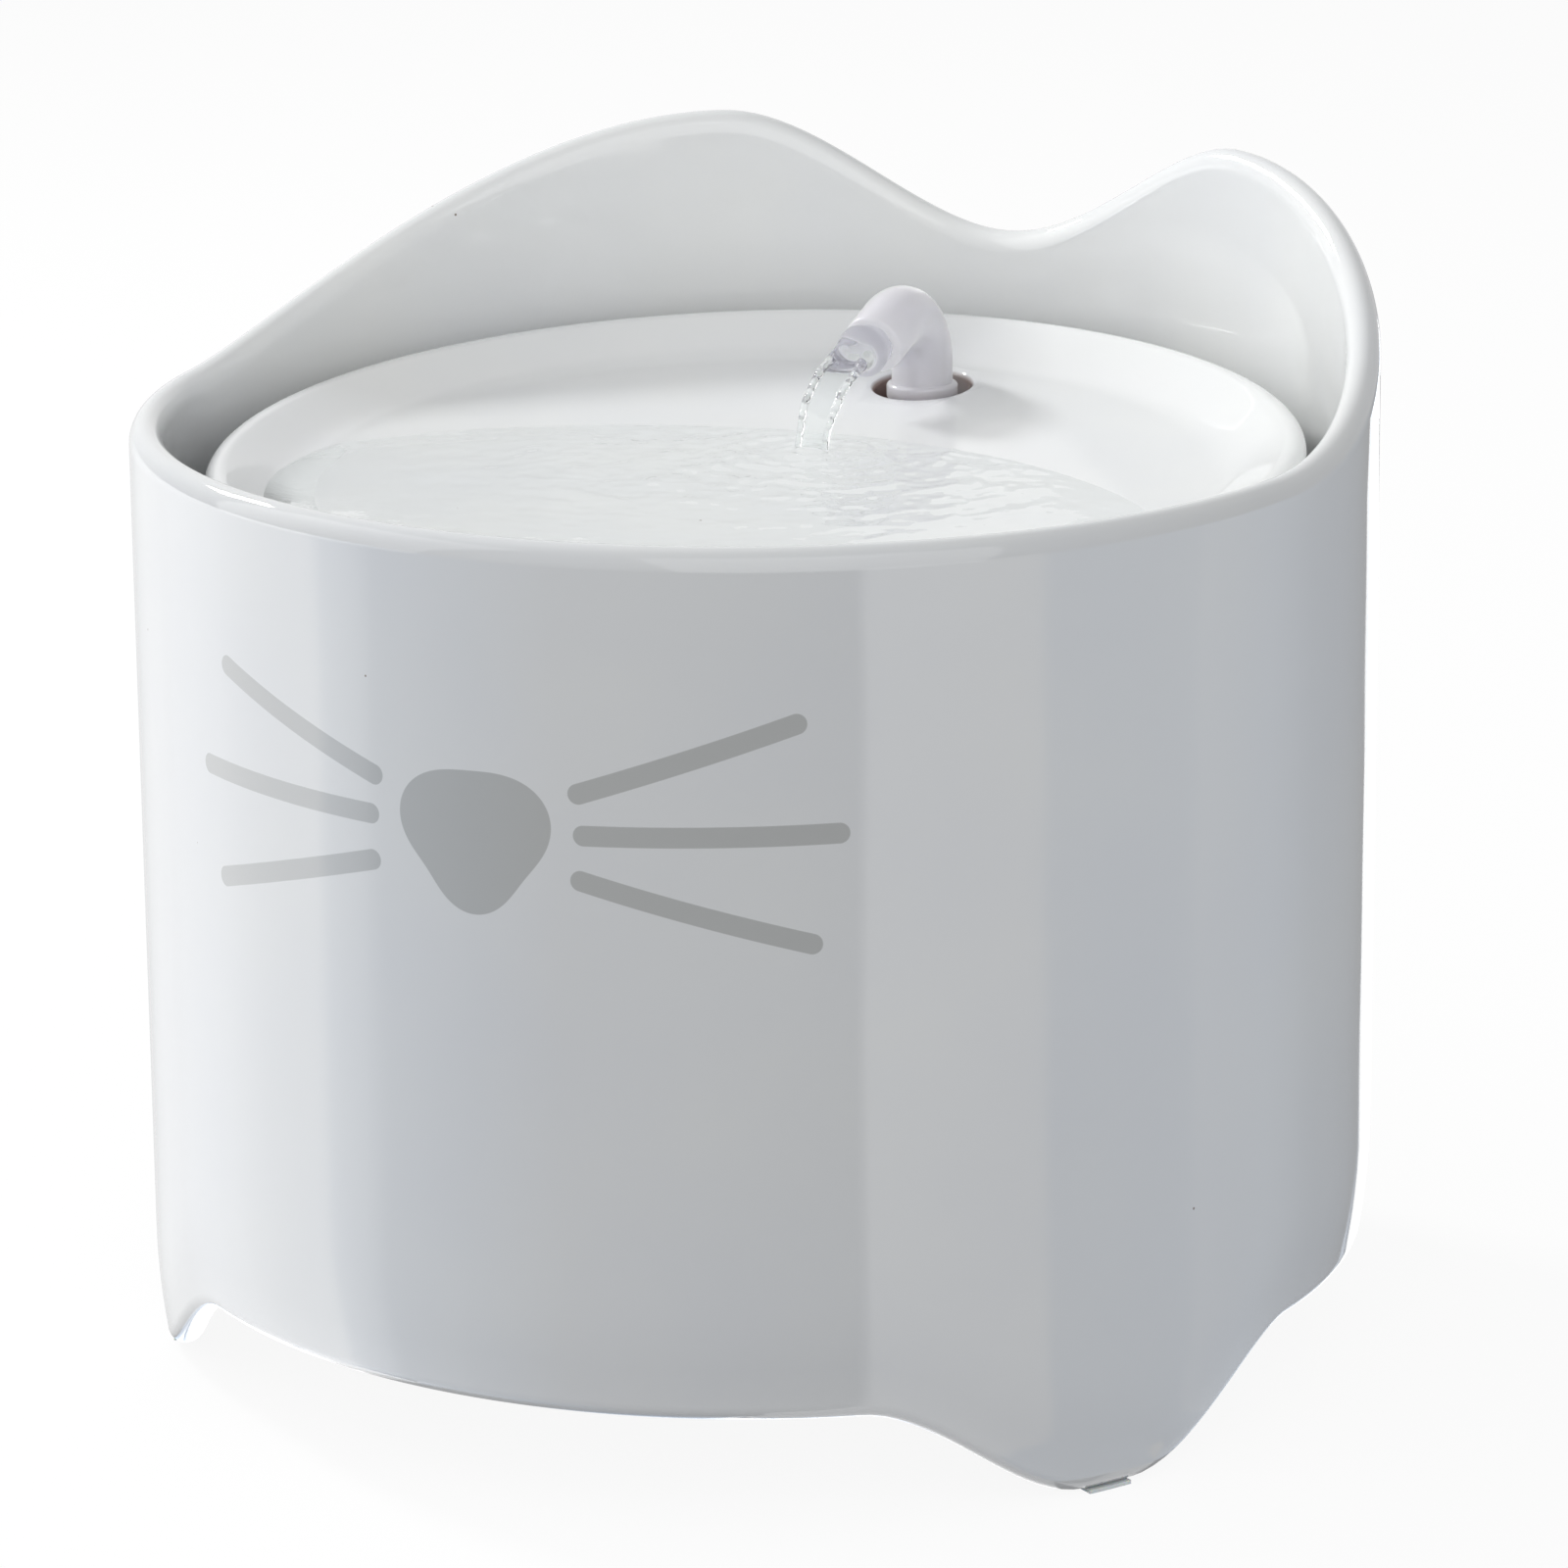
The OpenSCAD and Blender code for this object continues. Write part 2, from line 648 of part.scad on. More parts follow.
// ---------- pump, drawn along its shaft: local Z runs along +X, local -X is up ----------
module on_shaft() {
  translate([0, spout_y, pump_z]) rotate([0, 90, 0]) children();
}

module on_shaft_at(x) {
  on_shaft() translate([0, 0, x]) children();
}

motor_r = 5;
well_end = motor_x + well_l;              // inside of the rotor well's end wall
can_d = well_d + 2 * well_t;
cavity_w = motor_w - 2 * motor_t;
motor_end = motor_x + motor_l;
boss_h = 1;                               // boss round the gland, on top of the housing
housing_top_z = pump_z + motor_w / 2;

module square_block(w, r, h) {
  linear_extrude(h) translate([-w / 2, -w / 2]) round_rect([w, w], r);
}

module at_gland() {
  translate([gland_x, spout_y, housing_top_z - motor_t]) children();
}

module motor_housing() {
  color("darkslategray")
  difference() {
    union() {
      on_shaft_at(motor_x) difference() {
        square_block(motor_w, motor_r, motor_l);
        translate([0, 0, motor_t]) square_block(cavity_w, motor_r - motor_t, motor_l);
      }
      on_shaft_at(motor_x + eps) cylinder(d = can_d, h = well_l + well_t);
      at_gland() cylinder(d = gland_collar_d + 2 * motor_t, h = motor_t + boss_h);
    }
    on_shaft_at(motor_x - over) cylinder(d = well_d, h = well_l + over - bush_seat_t);
    on_shaft_at(motor_x - over) cylinder(d = bush_d + 2 * run_gap, h = well_l + over);
    at_gland() translate([0, 0, -over]) cylinder(d = gland_od + 2 * run_gap, h = motor_t + boss_h + 2 * over);
  }
}

stack_off = 5.5;                          // from the housing's front to the stator
stack_x = motor_x + stack_off;
stack_l = 9;
yoke_d = cavity_w - 2 * inside_gap;
yoke_t = 2;
pole_w = 4.5;
pole_in = can_d / 2 + slide_gap;
pole_out = yoke_d / 2 - yoke_t;
poles = 4;
pole_a = 360 / poles;
coil_t = 1.8;
coil_margin = 0.8;                        // bare pole left at each end of a coil
coil_reach = pole_out - pole_in - 2 * coil_margin;

module stator_core() {
  color("silver")
  on_shaft_at(stack_x) linear_extrude(stack_l) {
    difference() {
      circle(d = yoke_d);
      circle(d = yoke_d - 2 * yoke_t);
    }
    for (k = [0:poles - 1]) rotate(pole_a * (k + 0.5))
      translate([pole_in, -pole_w / 2]) square([pole_out - pole_in + yoke_t / 2, pole_w]);
  }
}

module stator_coils() {
  color("peru")
  on_shaft_at(stack_x + stack_l / 2) for (k = [0:poles - 1]) rotate([0, 0, pole_a * (k + 0.5)])
    translate([pole_in + slide_gap, 0, 0]) rotate([0, 90, 0]) linear_extrude(coil_reach)
      difference() {
        square([stack_l + 2 * coil_t, pole_w + 2 * coil_t], center = true);
        square([stack_l + 2 * snug, pole_w + 2 * snug], center = true);
      }
}

chip = [6, 3, 1.2];
chip_at = [[-3, -12], [7, 5]];            // lower corners of the two chips on the board
board_x = motor_end - plug_t - inside_gap - board_t;

module driver_board() {
  color("seagreen")
  on_shaft_at(board_x) union() {
    square_block(cavity_w - 2 * inside_gap, motor_r - motor_t, board_t);
    for (p = chip_at) translate([p[0], p[1], -chip[2]]) cube([chip[0], chip[1], chip[2] + eps]);
  }
}

module potting_plug() {
  color("black")
  on_shaft_at(motor_end - plug_t) square_block(cavity_w - 2 * run_gap, motor_r - motor_t - run_gap, plug_t);
}

module cord_gland() {
  color("black")
  at_gland() difference() {
    union() {
      cylinder(d = gland_od, h = motor_t + boss_h + gland_h);
      translate([0, 0, motor_t + boss_h + snug]) cylinder(d = gland_collar_d, h = gland_collar_t);
    }
    translate([0, 0, -over]) cylinder(d = cord_d, h = motor_t + boss_h + gland_h + 2 * over);
  }
}

shaft_end = well_end - slide_gap;
shaft_start = front_bush_x - slide_gap;

module shaft() {
  color("ivory") on_shaft_at(shaft_start) cylinder(d = shaft_d, h = shaft_end - shaft_start);
}

module bush(x) {
  color("dimgray")
  on_shaft_at(x) difference() {
    cylinder(d = bush_d, h = bush_t);
    translate([0, 0, -over]) cylinder(d = shaft_d + 2 * run_gap, h = bush_t + 2 * over);
  }
}

module rear_bush() {
  bush(well_end - snug - bush_t);
}

module front_bush() {
  bush(front_bush_x + (chamber_t - bush_t) / 2);
}

rotor_stem_d = 4;
disc_x = motor_x - rotor_gap - disc_t;
magnet_x = motor_x + magnet_off;
rotor_end = well_end - bush_t - 2 * snug;
rim_gap = 0.4;                            // the blades end just inside the disc's edge

module rotor_magnet() {
  color("dimgray")
  on_shaft_at(magnet_x) difference() {
    cylinder(d = magnet_d, h = magnet_l);
    translate([0, 0, -over]) cylinder(d = rotor_stem_d + 2 * run_gap, h = magnet_l + 2 * over);
  }
}

blade_t = 1.1;
blade_r = 8.4;                            // radius of a blade's curve
hub_d = 6.5;
spacer_d = 9.5;                           // the step behind the disc that the magnet stops at

// one swept-back blade between the hub and the rim of the impeller
module blade() {
  intersection() {
    translate([blade_r, 0]) difference() {
      circle(blade_r + blade_t / 2);
      circle(blade_r - blade_t / 2);
    }
    square(impeller_d);
    circle(impeller_d / 2 - rim_gap);
  }
}

module impeller() {
  color("white")
  difference() {
    union() {
      on_shaft_at(disc_x) cylinder(d = impeller_d, h = disc_t);
      on_shaft_at(disc_x - blade_h) {
        cylinder(d = hub_d, h = blade_h + disc_t / 2);
        linear_extrude(blade_h + disc_t / 2) for (k = [0:blades - 1]) rotate(360 / blades * k) blade();
      }
      on_shaft_at(disc_x) cylinder(d = rotor_stem_d, h = rotor_end - disc_x);
      on_shaft_at(disc_x) cylinder(d = spacer_d, h = magnet_x - disc_x - snug);
    }
    on_shaft_at(disc_x - blade_h - over)
      cylinder(d = shaft_d + 2 * run_gap, h = rotor_end - disc_x + blade_h + 2 * over);
  }
}

eye_d = 12;                               // inlet eye round the hub of the front bush
hub_od = 8;
spoke_w = 1.6;
spokes = 3;
nozzle_id = nozzle_od - 2 * nozzle_t;
seal_depth = 2 * seal_r + 2 * snug;
cover_back = motor_x - snug;

module nozzle_bar(d, low) {
  on_spout() translate([0, 0, low]) cylinder(d = d, h = housing_top_z + nozzle_h - low);
}

module volute_cover() {
  color("darkslategray")
  difference() {
    union() {
      on_shaft_at(front_bush_x) cylinder(d = chamber_d + 2 * chamber_t, h = cover_back - front_bush_x);
      on_shaft_at(cover_back - flange_t) cylinder(d = flange_d, h = flange_t);
      nozzle_bar(nozzle_od, pump_z + chamber_d / 2 - over);
    }
    on_shaft_at(chamber_x) cylinder(d = chamber_d, h = motor_l);
    difference() {
      on_shaft_at(front_bush_x - over) cylinder(d = eye_d, h = chamber_t + 2 * over);
      on_shaft_at(front_bush_x - 2 * over) {
        cylinder(d = hub_od, h = chamber_t + 4 * over);
        for (k = [0:spokes - 1]) rotate([0, 0, 360 / spokes * k]) translate([0, -spoke_w / 2, 0])
          cube([eye_d, spoke_w, chamber_t + 4 * over]);
      }
    }
    on_shaft_at(front_bush_x - over) cylinder(d = bush_d + 2 * run_gap, h = chamber_t + 2 * over);
    on_shaft_at(cover_back - seal_depth) difference() {
      cylinder(r = seal_mid_r + seal_r + snug, h = seal_depth + over);
      translate([0, 0, -over]) cylinder(r = seal_mid_r - seal_r - snug, h = seal_depth + 3 * over);
    }
    nozzle_bar(nozzle_id, pump_z);
  }
}

module cover_seal() {
  color("black")
  on_shaft_at(cover_back - seal_r - snug) rotate_extrude() translate([seal_mid_r, 0]) circle(seal_r);
}

strainer_id = chamber_d + 2 * (chamber_t + snug);
pin_d = 4;                                // pin that the dial turns on
pin_head_d = 6;
dial_rim = 2;                             // rim of the dial outside its windows
dial_tab = [5.5, 4];
windows = 4;
window_a = 360 / windows;
window_in = 4.2;
window_out = 10.5;

module strainer_cap() {
  color("slategray")
  difference() {
    union() {
      on_shaft_at(strainer_x) difference() {
        cylinder(d = strainer_id + 2 * strainer_t, h = strainer_l + strainer_grip);
        translate([0, 0, strainer_t]) cylinder(d = strainer_id, h = strainer_l + strainer_grip);
      }
      on_shaft_at(dial_x - snug - eps) cylinder(d = pin_d, h = dial_t + 2 * snug + strainer_t);
      on_shaft_at(dial_x - snug - pin_head_t) cylinder(d = pin_head_d, h = pin_head_t);
    }
    on_shaft_at(strainer_x - over / 2) window_ring(strainer_t + over);
  }
}

// the windows, slices of a ring as wide as the dial's travel
module window_ring(h) {
  for (k = [0:windows - 1]) rotate([0, 0, window_a * (k + 0.5) - dial_a / 2]) rotate_extrude(angle = dial_a)
    translate([window_in, 0]) square([window_out - window_in, h]);
}

module flow_dial() {
  color("orange")
  on_shaft_at(dial_x) difference() {
    union() {
      cylinder(r = window_out + dial_rim, h = dial_t);
      translate([-window_out - dial_tab[0], -dial_tab[1] / 2, 0]) cube([dial_tab[0], dial_tab[1], dial_t]);
    }
    translate([0, 0, -over]) cylinder(d = pin_d + 2 * run_gap, h = dial_t + 2 * over);
    translate([0, 0, -over]) window_ring(dial_t + 2 * over);
  }
}

riser_foot_gap = 0.8;                     // the riser ends just above the housing
riser_z = housing_top_z + riser_foot_gap;

module riser_tube() {
  color("gainsboro")
  on_spout() difference() {
    translate([0, 0, riser_z]) cylinder(d = riser_od, h = riser_top_z - riser_z);
    translate([0, 0, riser_z - over]) cylinder(d = riser_id, h = riser_top_z - riser_z + 2 * over);
  }
}

grommet_slack = 0.6;                      // the grommet is a little longer than the wall is thick

module cord_grommet() {
  color("lightgray")
  at_cord_hole() difference() {
    union() {
      translate([0, 0, snug]) cylinder(d = grommet_d, h = grommet_t);
      cylinder(d = cord_hole_d - 2 * run_gap, h = wall + grommet_slack);
      translate([0, 0, wall + grommet_slack]) cylinder(d = grommet_d, h = grommet_t);
    }
    translate([0, 0, -over]) cylinder(d = cord_d + 2 * run_gap, h = 3 * wall);
  }
}

bowl();
foot_pads();
dish_bumpers();
cord_grommet();
dish();
spout();
spout_sleeve();
riser_tube();
filter_case();
case_lid();
suction_cups();
cartridge_frame();
carbon_pack();
foam_sheet();
motor_housing();
stator_core();
stator_coils();
driver_board();
potting_plug();
cord_gland();
shaft();
rear_bush();
front_bush();
rotor_magnet();
impeller();
volute_cover();
cover_seal();
strainer_cap();
flow_dial();
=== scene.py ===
import math

import bpy
from mathutils import Matrix, Vector, noise


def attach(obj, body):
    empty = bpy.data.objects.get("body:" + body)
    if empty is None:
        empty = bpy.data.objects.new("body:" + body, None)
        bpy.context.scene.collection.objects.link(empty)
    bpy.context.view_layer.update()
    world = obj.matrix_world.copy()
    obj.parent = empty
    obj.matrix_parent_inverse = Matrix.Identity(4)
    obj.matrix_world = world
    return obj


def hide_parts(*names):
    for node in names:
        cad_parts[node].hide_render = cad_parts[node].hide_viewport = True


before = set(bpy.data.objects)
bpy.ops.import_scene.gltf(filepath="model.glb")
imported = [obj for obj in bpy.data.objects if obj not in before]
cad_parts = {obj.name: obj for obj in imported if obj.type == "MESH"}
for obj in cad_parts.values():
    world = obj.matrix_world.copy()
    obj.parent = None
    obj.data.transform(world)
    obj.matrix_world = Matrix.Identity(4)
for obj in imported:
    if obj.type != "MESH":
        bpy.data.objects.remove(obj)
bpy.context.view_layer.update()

mm = 0.001
scene = bpy.context.scene
print("frame loaded", len(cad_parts), "nodes")


# selecting and editing, as by hand
def clearSelection():
    if bpy.context.object and bpy.context.object.mode != "OBJECT":
        bpy.ops.object.mode_set(mode="OBJECT")
    bpy.ops.object.select_all(action="DESELECT")


def makeActive(piece):
    clearSelection()
    piece.select_set(True)
    bpy.context.view_layer.objects.active = piece


def startEdit(piece, selectAll=True):
    makeActive(piece)
    bpy.ops.object.mode_set(mode="EDIT")
    bpy.ops.mesh.select_mode(type="VERT")
    bpy.ops.mesh.select_all(action="SELECT" if selectAll else "DESELECT")


def endEdit():
    bpy.ops.object.mode_set(mode="OBJECT")


# an open line of points in the XZ plane, given as radius and height in mm
def drawProfile(name, points):
    clearSelection()
    bpy.ops.mesh.primitive_circle_add(vertices=len(points), fill_type="NOTHING")
    piece = bpy.context.object
    piece.name = piece.data.name = name
    rows = piece.data.attributes.new("row", "FLOAT", "POINT")
    for k, (r, z) in enumerate(points):
        piece.data.vertices[k].co = (r * mm, 0, z * mm)
        rows.data[k].value = k
    ends = {0, len(points) - 1}
    startEdit(piece, selectAll=False)
    endEdit()
    for edge in piece.data.edges:
        edge.select = set(edge.vertices) == ends
    for vertex in piece.data.vertices:
        vertex.select = vertex.index in ends
    bpy.ops.object.mode_set(mode="EDIT")
    bpy.ops.mesh.select_mode(type="EDGE")
    bpy.ops.mesh.delete(type="EDGE")
    endEdit()
    return piece


def spinRound(piece, steps):
    startEdit(piece)
    bpy.ops.mesh.spin(steps=steps, angle=2 * math.pi, center=(0, 0, 0), axis=(0, 0, 1))
    bpy.ops.mesh.select_all(action="SELECT")
    bpy.ops.mesh.remove_doubles(threshold=1e-6)
    bpy.ops.mesh.normals_make_consistent(inside=False)
    endEdit()


# moves each ring of a spun profile to the section that belongs to its angle
def shapeRings(piece, sectionAt):
    rows = [round(r.value) for r in piece.data.attributes["row"].data]
    sections = {}
    for vertex, row in zip(piece.data.vertices, rows):
        x, y = vertex.co.x, vertex.co.y
        if math.hypot(x, y) < 1e-6:
            angle = 0.0
        else:
            angle = round(math.degrees(math.atan2(x, -y)) % 360, 3)
        if angle not in sections:
            sections[angle] = sectionAt(angle)
        r, z = sections[angle][row]
        a = math.radians(angle)
        vertex.co = (r * mm * math.sin(a), -r * mm * math.cos(a), z * mm)
    piece.data.attributes.remove(piece.data.attributes["row"])


def smoothShade(piece, angle=35):
    makeActive(piece)
    bpy.ops.object.shade_smooth_by_angle(angle=math.radians(angle))


def cutAway(piece, cutter):
    makeActive(piece)
    cut = piece.modifiers.new("cut", "BOOLEAN")
    cut.operation, cut.solver, cut.object = "DIFFERENCE", "EXACT", cutter
    bpy.ops.object.modifier_apply(modifier=cut.name)
    bpy.data.objects.remove(cutter)


# selects the vertices and edges whose place passes a test, in edit mode
def selectWhere(piece, test):
    endEdit()
    for vertex in piece.data.vertices:
        vertex.select = test(vertex.co / mm)
    for edge in piece.data.edges:
        edge.select = all(piece.data.vertices[k].select for k in edge.vertices)
    for face in piece.data.polygons:
        face.select = all(piece.data.vertices[k].select for k in face.vertices)
    bpy.ops.object.mode_set(mode="EDIT")


def smoothStep(t):
    return 0.0 if t <= 0 else 1.0 if t >= 1 else t * t * (3 - 2 * t)


def mix(a, b, t):
    return a + (b - a) * t


# node helpers for the materials
class Nodes:
    def __init__(self, tree):
        self.tree = tree

    def add(self, kind, **values):
        made = self.tree.nodes.new(kind)
        for key, value in values.items():
            setattr(made, key, value)
        return made

    def link(self, start, end):
        self.tree.links.new(start, end)

    def maths(self, operation, *inputs, clamp=False):
        made = self.add("ShaderNodeMath", operation=operation, use_clamp=clamp)
        for k, value in enumerate(inputs):
            if hasattr(value, "is_output"):
                self.link(value, made.inputs[k])
            else:
                made.inputs[k].default_value = value
        return made.outputs[0]

    def distance(self, x, y):
        squares = self.maths("ADD", self.maths("MULTIPLY", x, x), self.maths("MULTIPLY", y, y))
        return self.maths("SQRT", squares)

    def noise(self, where, scale, detail=2.0, roughness=0.5):
        made = self.add("ShaderNodeTexNoise")
        made.inputs["Scale"].default_value = scale
        made.inputs["Detail"].default_value = detail
        made.inputs["Roughness"].default_value = roughness
        self.link(where, made.inputs["Vector"])
        return made.outputs["Fac"]

    def remap(self, value, low, high, outLow=0.0, outHigh=1.0):
        made = self.add("ShaderNodeMapRange")
        for k, number in zip(("From Min", "From Max", "To Min", "To Max"), (low, high, outLow, outHigh)):
            made.inputs[k].default_value = number
        self.link(value, made.inputs["Value"])
        return made.outputs["Result"]

    def blend(self, amount, first, second):
        made = self.add("ShaderNodeMix", data_type="RGBA")
        for socket, value in ((made.inputs[0], amount), (made.inputs[6], first), (made.inputs[7], second)):
            if hasattr(value, "is_output"):
                self.link(value, socket)
            else:
                socket.default_value = value
        return made.outputs[2]


def newGroup(name, inputs, outputs):
    tree = bpy.data.node_groups.new(name, "ShaderNodeTree")
    for label, kind, default in inputs:
        socket = tree.interface.new_socket(name=label, in_out="INPUT", socket_type=kind)
        if default is not None:
            socket.default_value = default
    for label, kind in outputs:
        tree.interface.new_socket(name=label, in_out="OUTPUT", socket_type=kind)
    made = Nodes(tree)
    return made, made.add("NodeGroupInput"), made.add("NodeGroupOutput")


# soft cloudy change of tone in a glaze, with pinhole specks and a faint waviness of the surface
def glazeGroup():
    made, start, end = newGroup("glazeDepth", [
        ("Position", "NodeSocketVector", None), ("Cloud Scale", "NodeSocketFloat", 22.0),
        ("Speck Scale", "NodeSocketFloat", 260.0), ("Speck Size", "NodeSocketFloat", 0.055),
        ("Speck Rarity", "NodeSocketFloat", 0.982), ("Wave Height", "NodeSocketFloat", 0.6)], [
        ("Cloud", "NodeSocketFloat"), ("Specks", "NodeSocketFloat"), ("Normal", "NodeSocketVector")])
    cloud = made.add("ShaderNodeTexNoise")
    cloud.inputs["Detail"].default_value = 3.0
    made.link(start.outputs["Position"], cloud.inputs["Vector"])
    made.link(start.outputs["Cloud Scale"], cloud.inputs["Scale"])
    made.link(cloud.outputs["Fac"], end.inputs["Cloud"])
    cells = made.add("ShaderNodeTexVoronoi")
    made.link(start.outputs["Position"], cells.inputs["Vector"])
    made.link(start.outputs["Speck Scale"], cells.inputs["Scale"])
    near = made.maths("LESS_THAN", cells.outputs["Distance"], start.outputs["Speck Size"])
    pick = made.add("ShaderNodeSeparateColor")
    made.link(cells.outputs["Color"], pick.inputs["Color"])
    rare = made.maths("GREATER_THAN", pick.outputs["Red"], start.outputs["Speck Rarity"])
    made.link(made.maths("MULTIPLY", near, rare), end.inputs["Specks"])
    wave = made.noise(start.outputs["Position"], 17.0, 1.0)
    bump = made.add("ShaderNodeBump")
    bump.inputs["Distance"].default_value = 0.001
    made.link(start.outputs["Wave Height"], bump.inputs["Strength"])
    made.link(wave, bump.inputs["Height"])
    made.link(bump.outputs["Normal"], end.inputs["Normal"])
    return made.tree


# fine skin of a moulded or cast surface: tone, roughness and a shallow grain
def grainGroup():
    made, start, end = newGroup("mouldGrain", [
        ("Position", "NodeSocketVector", None), ("Scale", "NodeSocketFloat", 900.0),
        ("Strength", "NodeSocketFloat", 0.15), ("Roughness", "NodeSocketFloat", 0.4),
        ("Spread", "NodeSocketFloat", 0.1)], [
        ("Tone", "NodeSocketFloat"), ("Roughness", "NodeSocketFloat"), ("Normal", "NodeSocketVector")])
    fine = made.add("ShaderNodeTexNoise")
    fine.inputs["Detail"].default_value = 3.0
    made.link(start.outputs["Position"], fine.inputs["Vector"])
    made.link(start.outputs["Scale"], fine.inputs["Scale"])
    broad = made.noise(start.outputs["Position"], 60.0, 3.0)
    made.link(broad, end.inputs["Tone"])
    shift = made.maths("SUBTRACT", broad, 0.5)
    spread = made.maths("MULTIPLY", shift, start.outputs["Spread"])
    made.link(made.maths("ADD", start.outputs["Roughness"], spread), end.inputs["Roughness"])
    bump = made.add("ShaderNodeBump")
    bump.inputs["Distance"].default_value = 0.0002
    made.link(start.outputs["Strength"], bump.inputs["Strength"])
    made.link(fine.outputs["Fac"], bump.inputs["Height"])
    made.link(bump.outputs["Normal"], end.inputs["Normal"])
    return made.tree


# a stroke with round ends on the bowl's wall, from one point to another, in arc length and height
def strokeGroup():
    made, start, end = newGroup("printStroke", [
        ("Place", "NodeSocketVector", None), ("Start", "NodeSocketVector", None),
        ("Run", "NodeSocketVector", None), ("Width", "NodeSocketFloat", 0.003),
        ("Sharpness", "NodeSocketFloat", 9000.0)], [
        ("Mask", "NodeSocketFloat")])
    away = made.add("ShaderNodeVectorMath", operation="SUBTRACT")
    made.link(start.outputs["Place"], away.inputs[0])
    made.link(start.outputs["Start"], away.inputs[1])
    along = made.add("ShaderNodeVectorMath", operation="DOT_PRODUCT")
    made.link(away.outputs["Vector"], along.inputs[0])
    made.link(start.outputs["Run"], along.inputs[1])
    length = made.add("ShaderNodeVectorMath", operation="DOT_PRODUCT")
    made.link(start.outputs["Run"], length.inputs[0])
    made.link(start.outputs["Run"], length.inputs[1])
    share = made.maths("DIVIDE", along.outputs["Value"], length.outputs["Value"], clamp=True)
    nearest = made.add("ShaderNodeVectorMath", operation="SCALE")
    made.link(start.outputs["Run"], nearest.inputs[0])
    made.link(share, nearest.inputs["Scale"])
    gap = made.add("ShaderNodeVectorMath", operation="DISTANCE")
    made.link(away.outputs["Vector"], gap.inputs[0])
    made.link(nearest.outputs["Vector"], gap.inputs[1])
    half = made.maths("MULTIPLY", start.outputs["Width"], 0.5)
    inside = made.maths("SUBTRACT", half, gap.outputs["Value"])
    soft = made.maths("MULTIPLY_ADD", inside, start.outputs["Sharpness"], 0.5, clamp=True)
    made.link(soft, end.inputs["Mask"])
    return made.tree


glazeDepth = glazeGroup()
mouldGrain = grainGroup()
printStroke = strokeGroup()


def newMaterial(name):
    material = bpy.data.materials.new(name)
    material.use_nodes = True
    tree = material.node_tree
    shader = next(n for n in tree.nodes if n.type == "BSDF_PRINCIPLED")
    made = Nodes(tree)
    place = made.add("ShaderNodeTexCoord").outputs["Object"]
    return material, made, shader, place


def useGroup(made, group, place, **values):
    node = made.add("ShaderNodeGroup")
    node.node_tree = group
    made.link(place, node.inputs[0])
    for label, value in values.items():
        node.inputs[label].default_value = value
    return node


# glaze
glazeSettings = {
    "white": (0.81, 0.822, 0.817, 1), "cool": (0.785, 0.80, 0.81, 1), "speck": (0.22, 0.18, 0.15, 1),
    # the outer tone is painted shade on the bowl's outer wall, and the dark brown after it is painted shade
    # on the dish's hole wall
    "outer": (0.77, 0.777, 0.793, 1), "paintedHoleShade": (0.27, 0.195, 0.165, 1),
    "roughness": 0.045, "smoother": 0.02, "rougher": 0.03, "printGrey": (0.40, 0.41, 0.41, 1),
    "printWidth": 3.05, "printSharpness": 9000.0, "outerFrom": 90.5, "outerTo": 94.5, "holeShadeFrom": 0.6,
    "holeShadeTo": 0.1,
}
faceSettings = {
    "radius": 95.0, "noseAt": (1.99, 104.0), "noseSize": 10.96,
    "noseWaves": [(0.242, -0.319), (0.623, -0.03), (-0.046, 1.166), (0.299, 0.009)],
    "whiskers": [((18.4, 111.1), (49.7, 121.9)), ((19.1, 105.0), (55.7, 105.8)), ((18.6, 98.3), (51.7, 89.6)),
                 ((-14.4, 110.5), (-45.9, 121.1)), ((-15.2, 104.6), (-51.9, 105.0)),
                 ((-15.1, 97.7), (-48.1, 88.6))],
}


# mask of the nose and whiskers, drawn on the outside of the bowl
def facePrint(made, place):
    settings = faceSettings
    split = made.add("ShaderNodeSeparateXYZ")
    made.link(place, split.inputs[0])
    x, y, z = split.outputs
    forward = made.maths("MULTIPLY", y, -1.0)
    turn = made.maths("ARCTAN2", x, forward)
    arc = made.maths("MULTIPLY", turn, settings["radius"] * mm)
    flat = made.add("ShaderNodeCombineXYZ")
    made.link(arc, flat.inputs[0])
    made.link(z, flat.inputs[1])
    masks = []
    for (u0, v0), (u1, v1) in settings["whiskers"]:
        stroke = useGroup(made, printStroke, flat.outputs[0], Start=(u0 * mm, v0 * mm, 0),
                          Run=((u1 - u0) * mm, (v1 - v0) * mm, 0),
                          Width=glazeSettings["printWidth"] * mm,
                          Sharpness=glazeSettings["printSharpness"])
        masks.append(stroke.outputs["Mask"])
    u = made.maths("SUBTRACT", arc, settings["noseAt"][0] * mm)
    v = made.maths("SUBTRACT", z, settings["noseAt"][1] * mm)
    bearing = made.maths("ARCTAN2", v, u)
    reach = settings["noseSize"]
    for k, (c, s) in enumerate(settings["noseWaves"], 1):
        angle = made.maths("MULTIPLY", bearing, float(k))
        reach = made.maths("MULTIPLY_ADD", made.maths("COSINE", angle), c, reach)
        reach = made.maths("MULTIPLY_ADD", made.maths("SINE", angle), s, reach)
    inside = made.maths("SUBTRACT", made.maths("MULTIPLY", reach, mm), made.distance(u, v))
    masks.append(made.maths("MULTIPLY_ADD", inside, glazeSettings["printSharpness"], 0.5, clamp=True))
    total = masks[0]
    for mask in masks[1:]:
        total = made.maths("MAXIMUM", total, mask)
    outside = made.maths("GREATER_THAN", made.distance(x, y), (settings["radius"] - 1) * mm)
    return made.maths("MULTIPLY", total, outside)


# distance from an upright line through the point x, y
def radiusFrom(made, place, x, y):
    split = made.add("ShaderNodeSeparateXYZ")
    made.link(place, split.inputs[0])
    dx = made.maths("SUBTRACT", split.outputs[0], x)
    dy = made.maths("SUBTRACT", split.outputs[1], y)
    return made.distance(dx, dy)
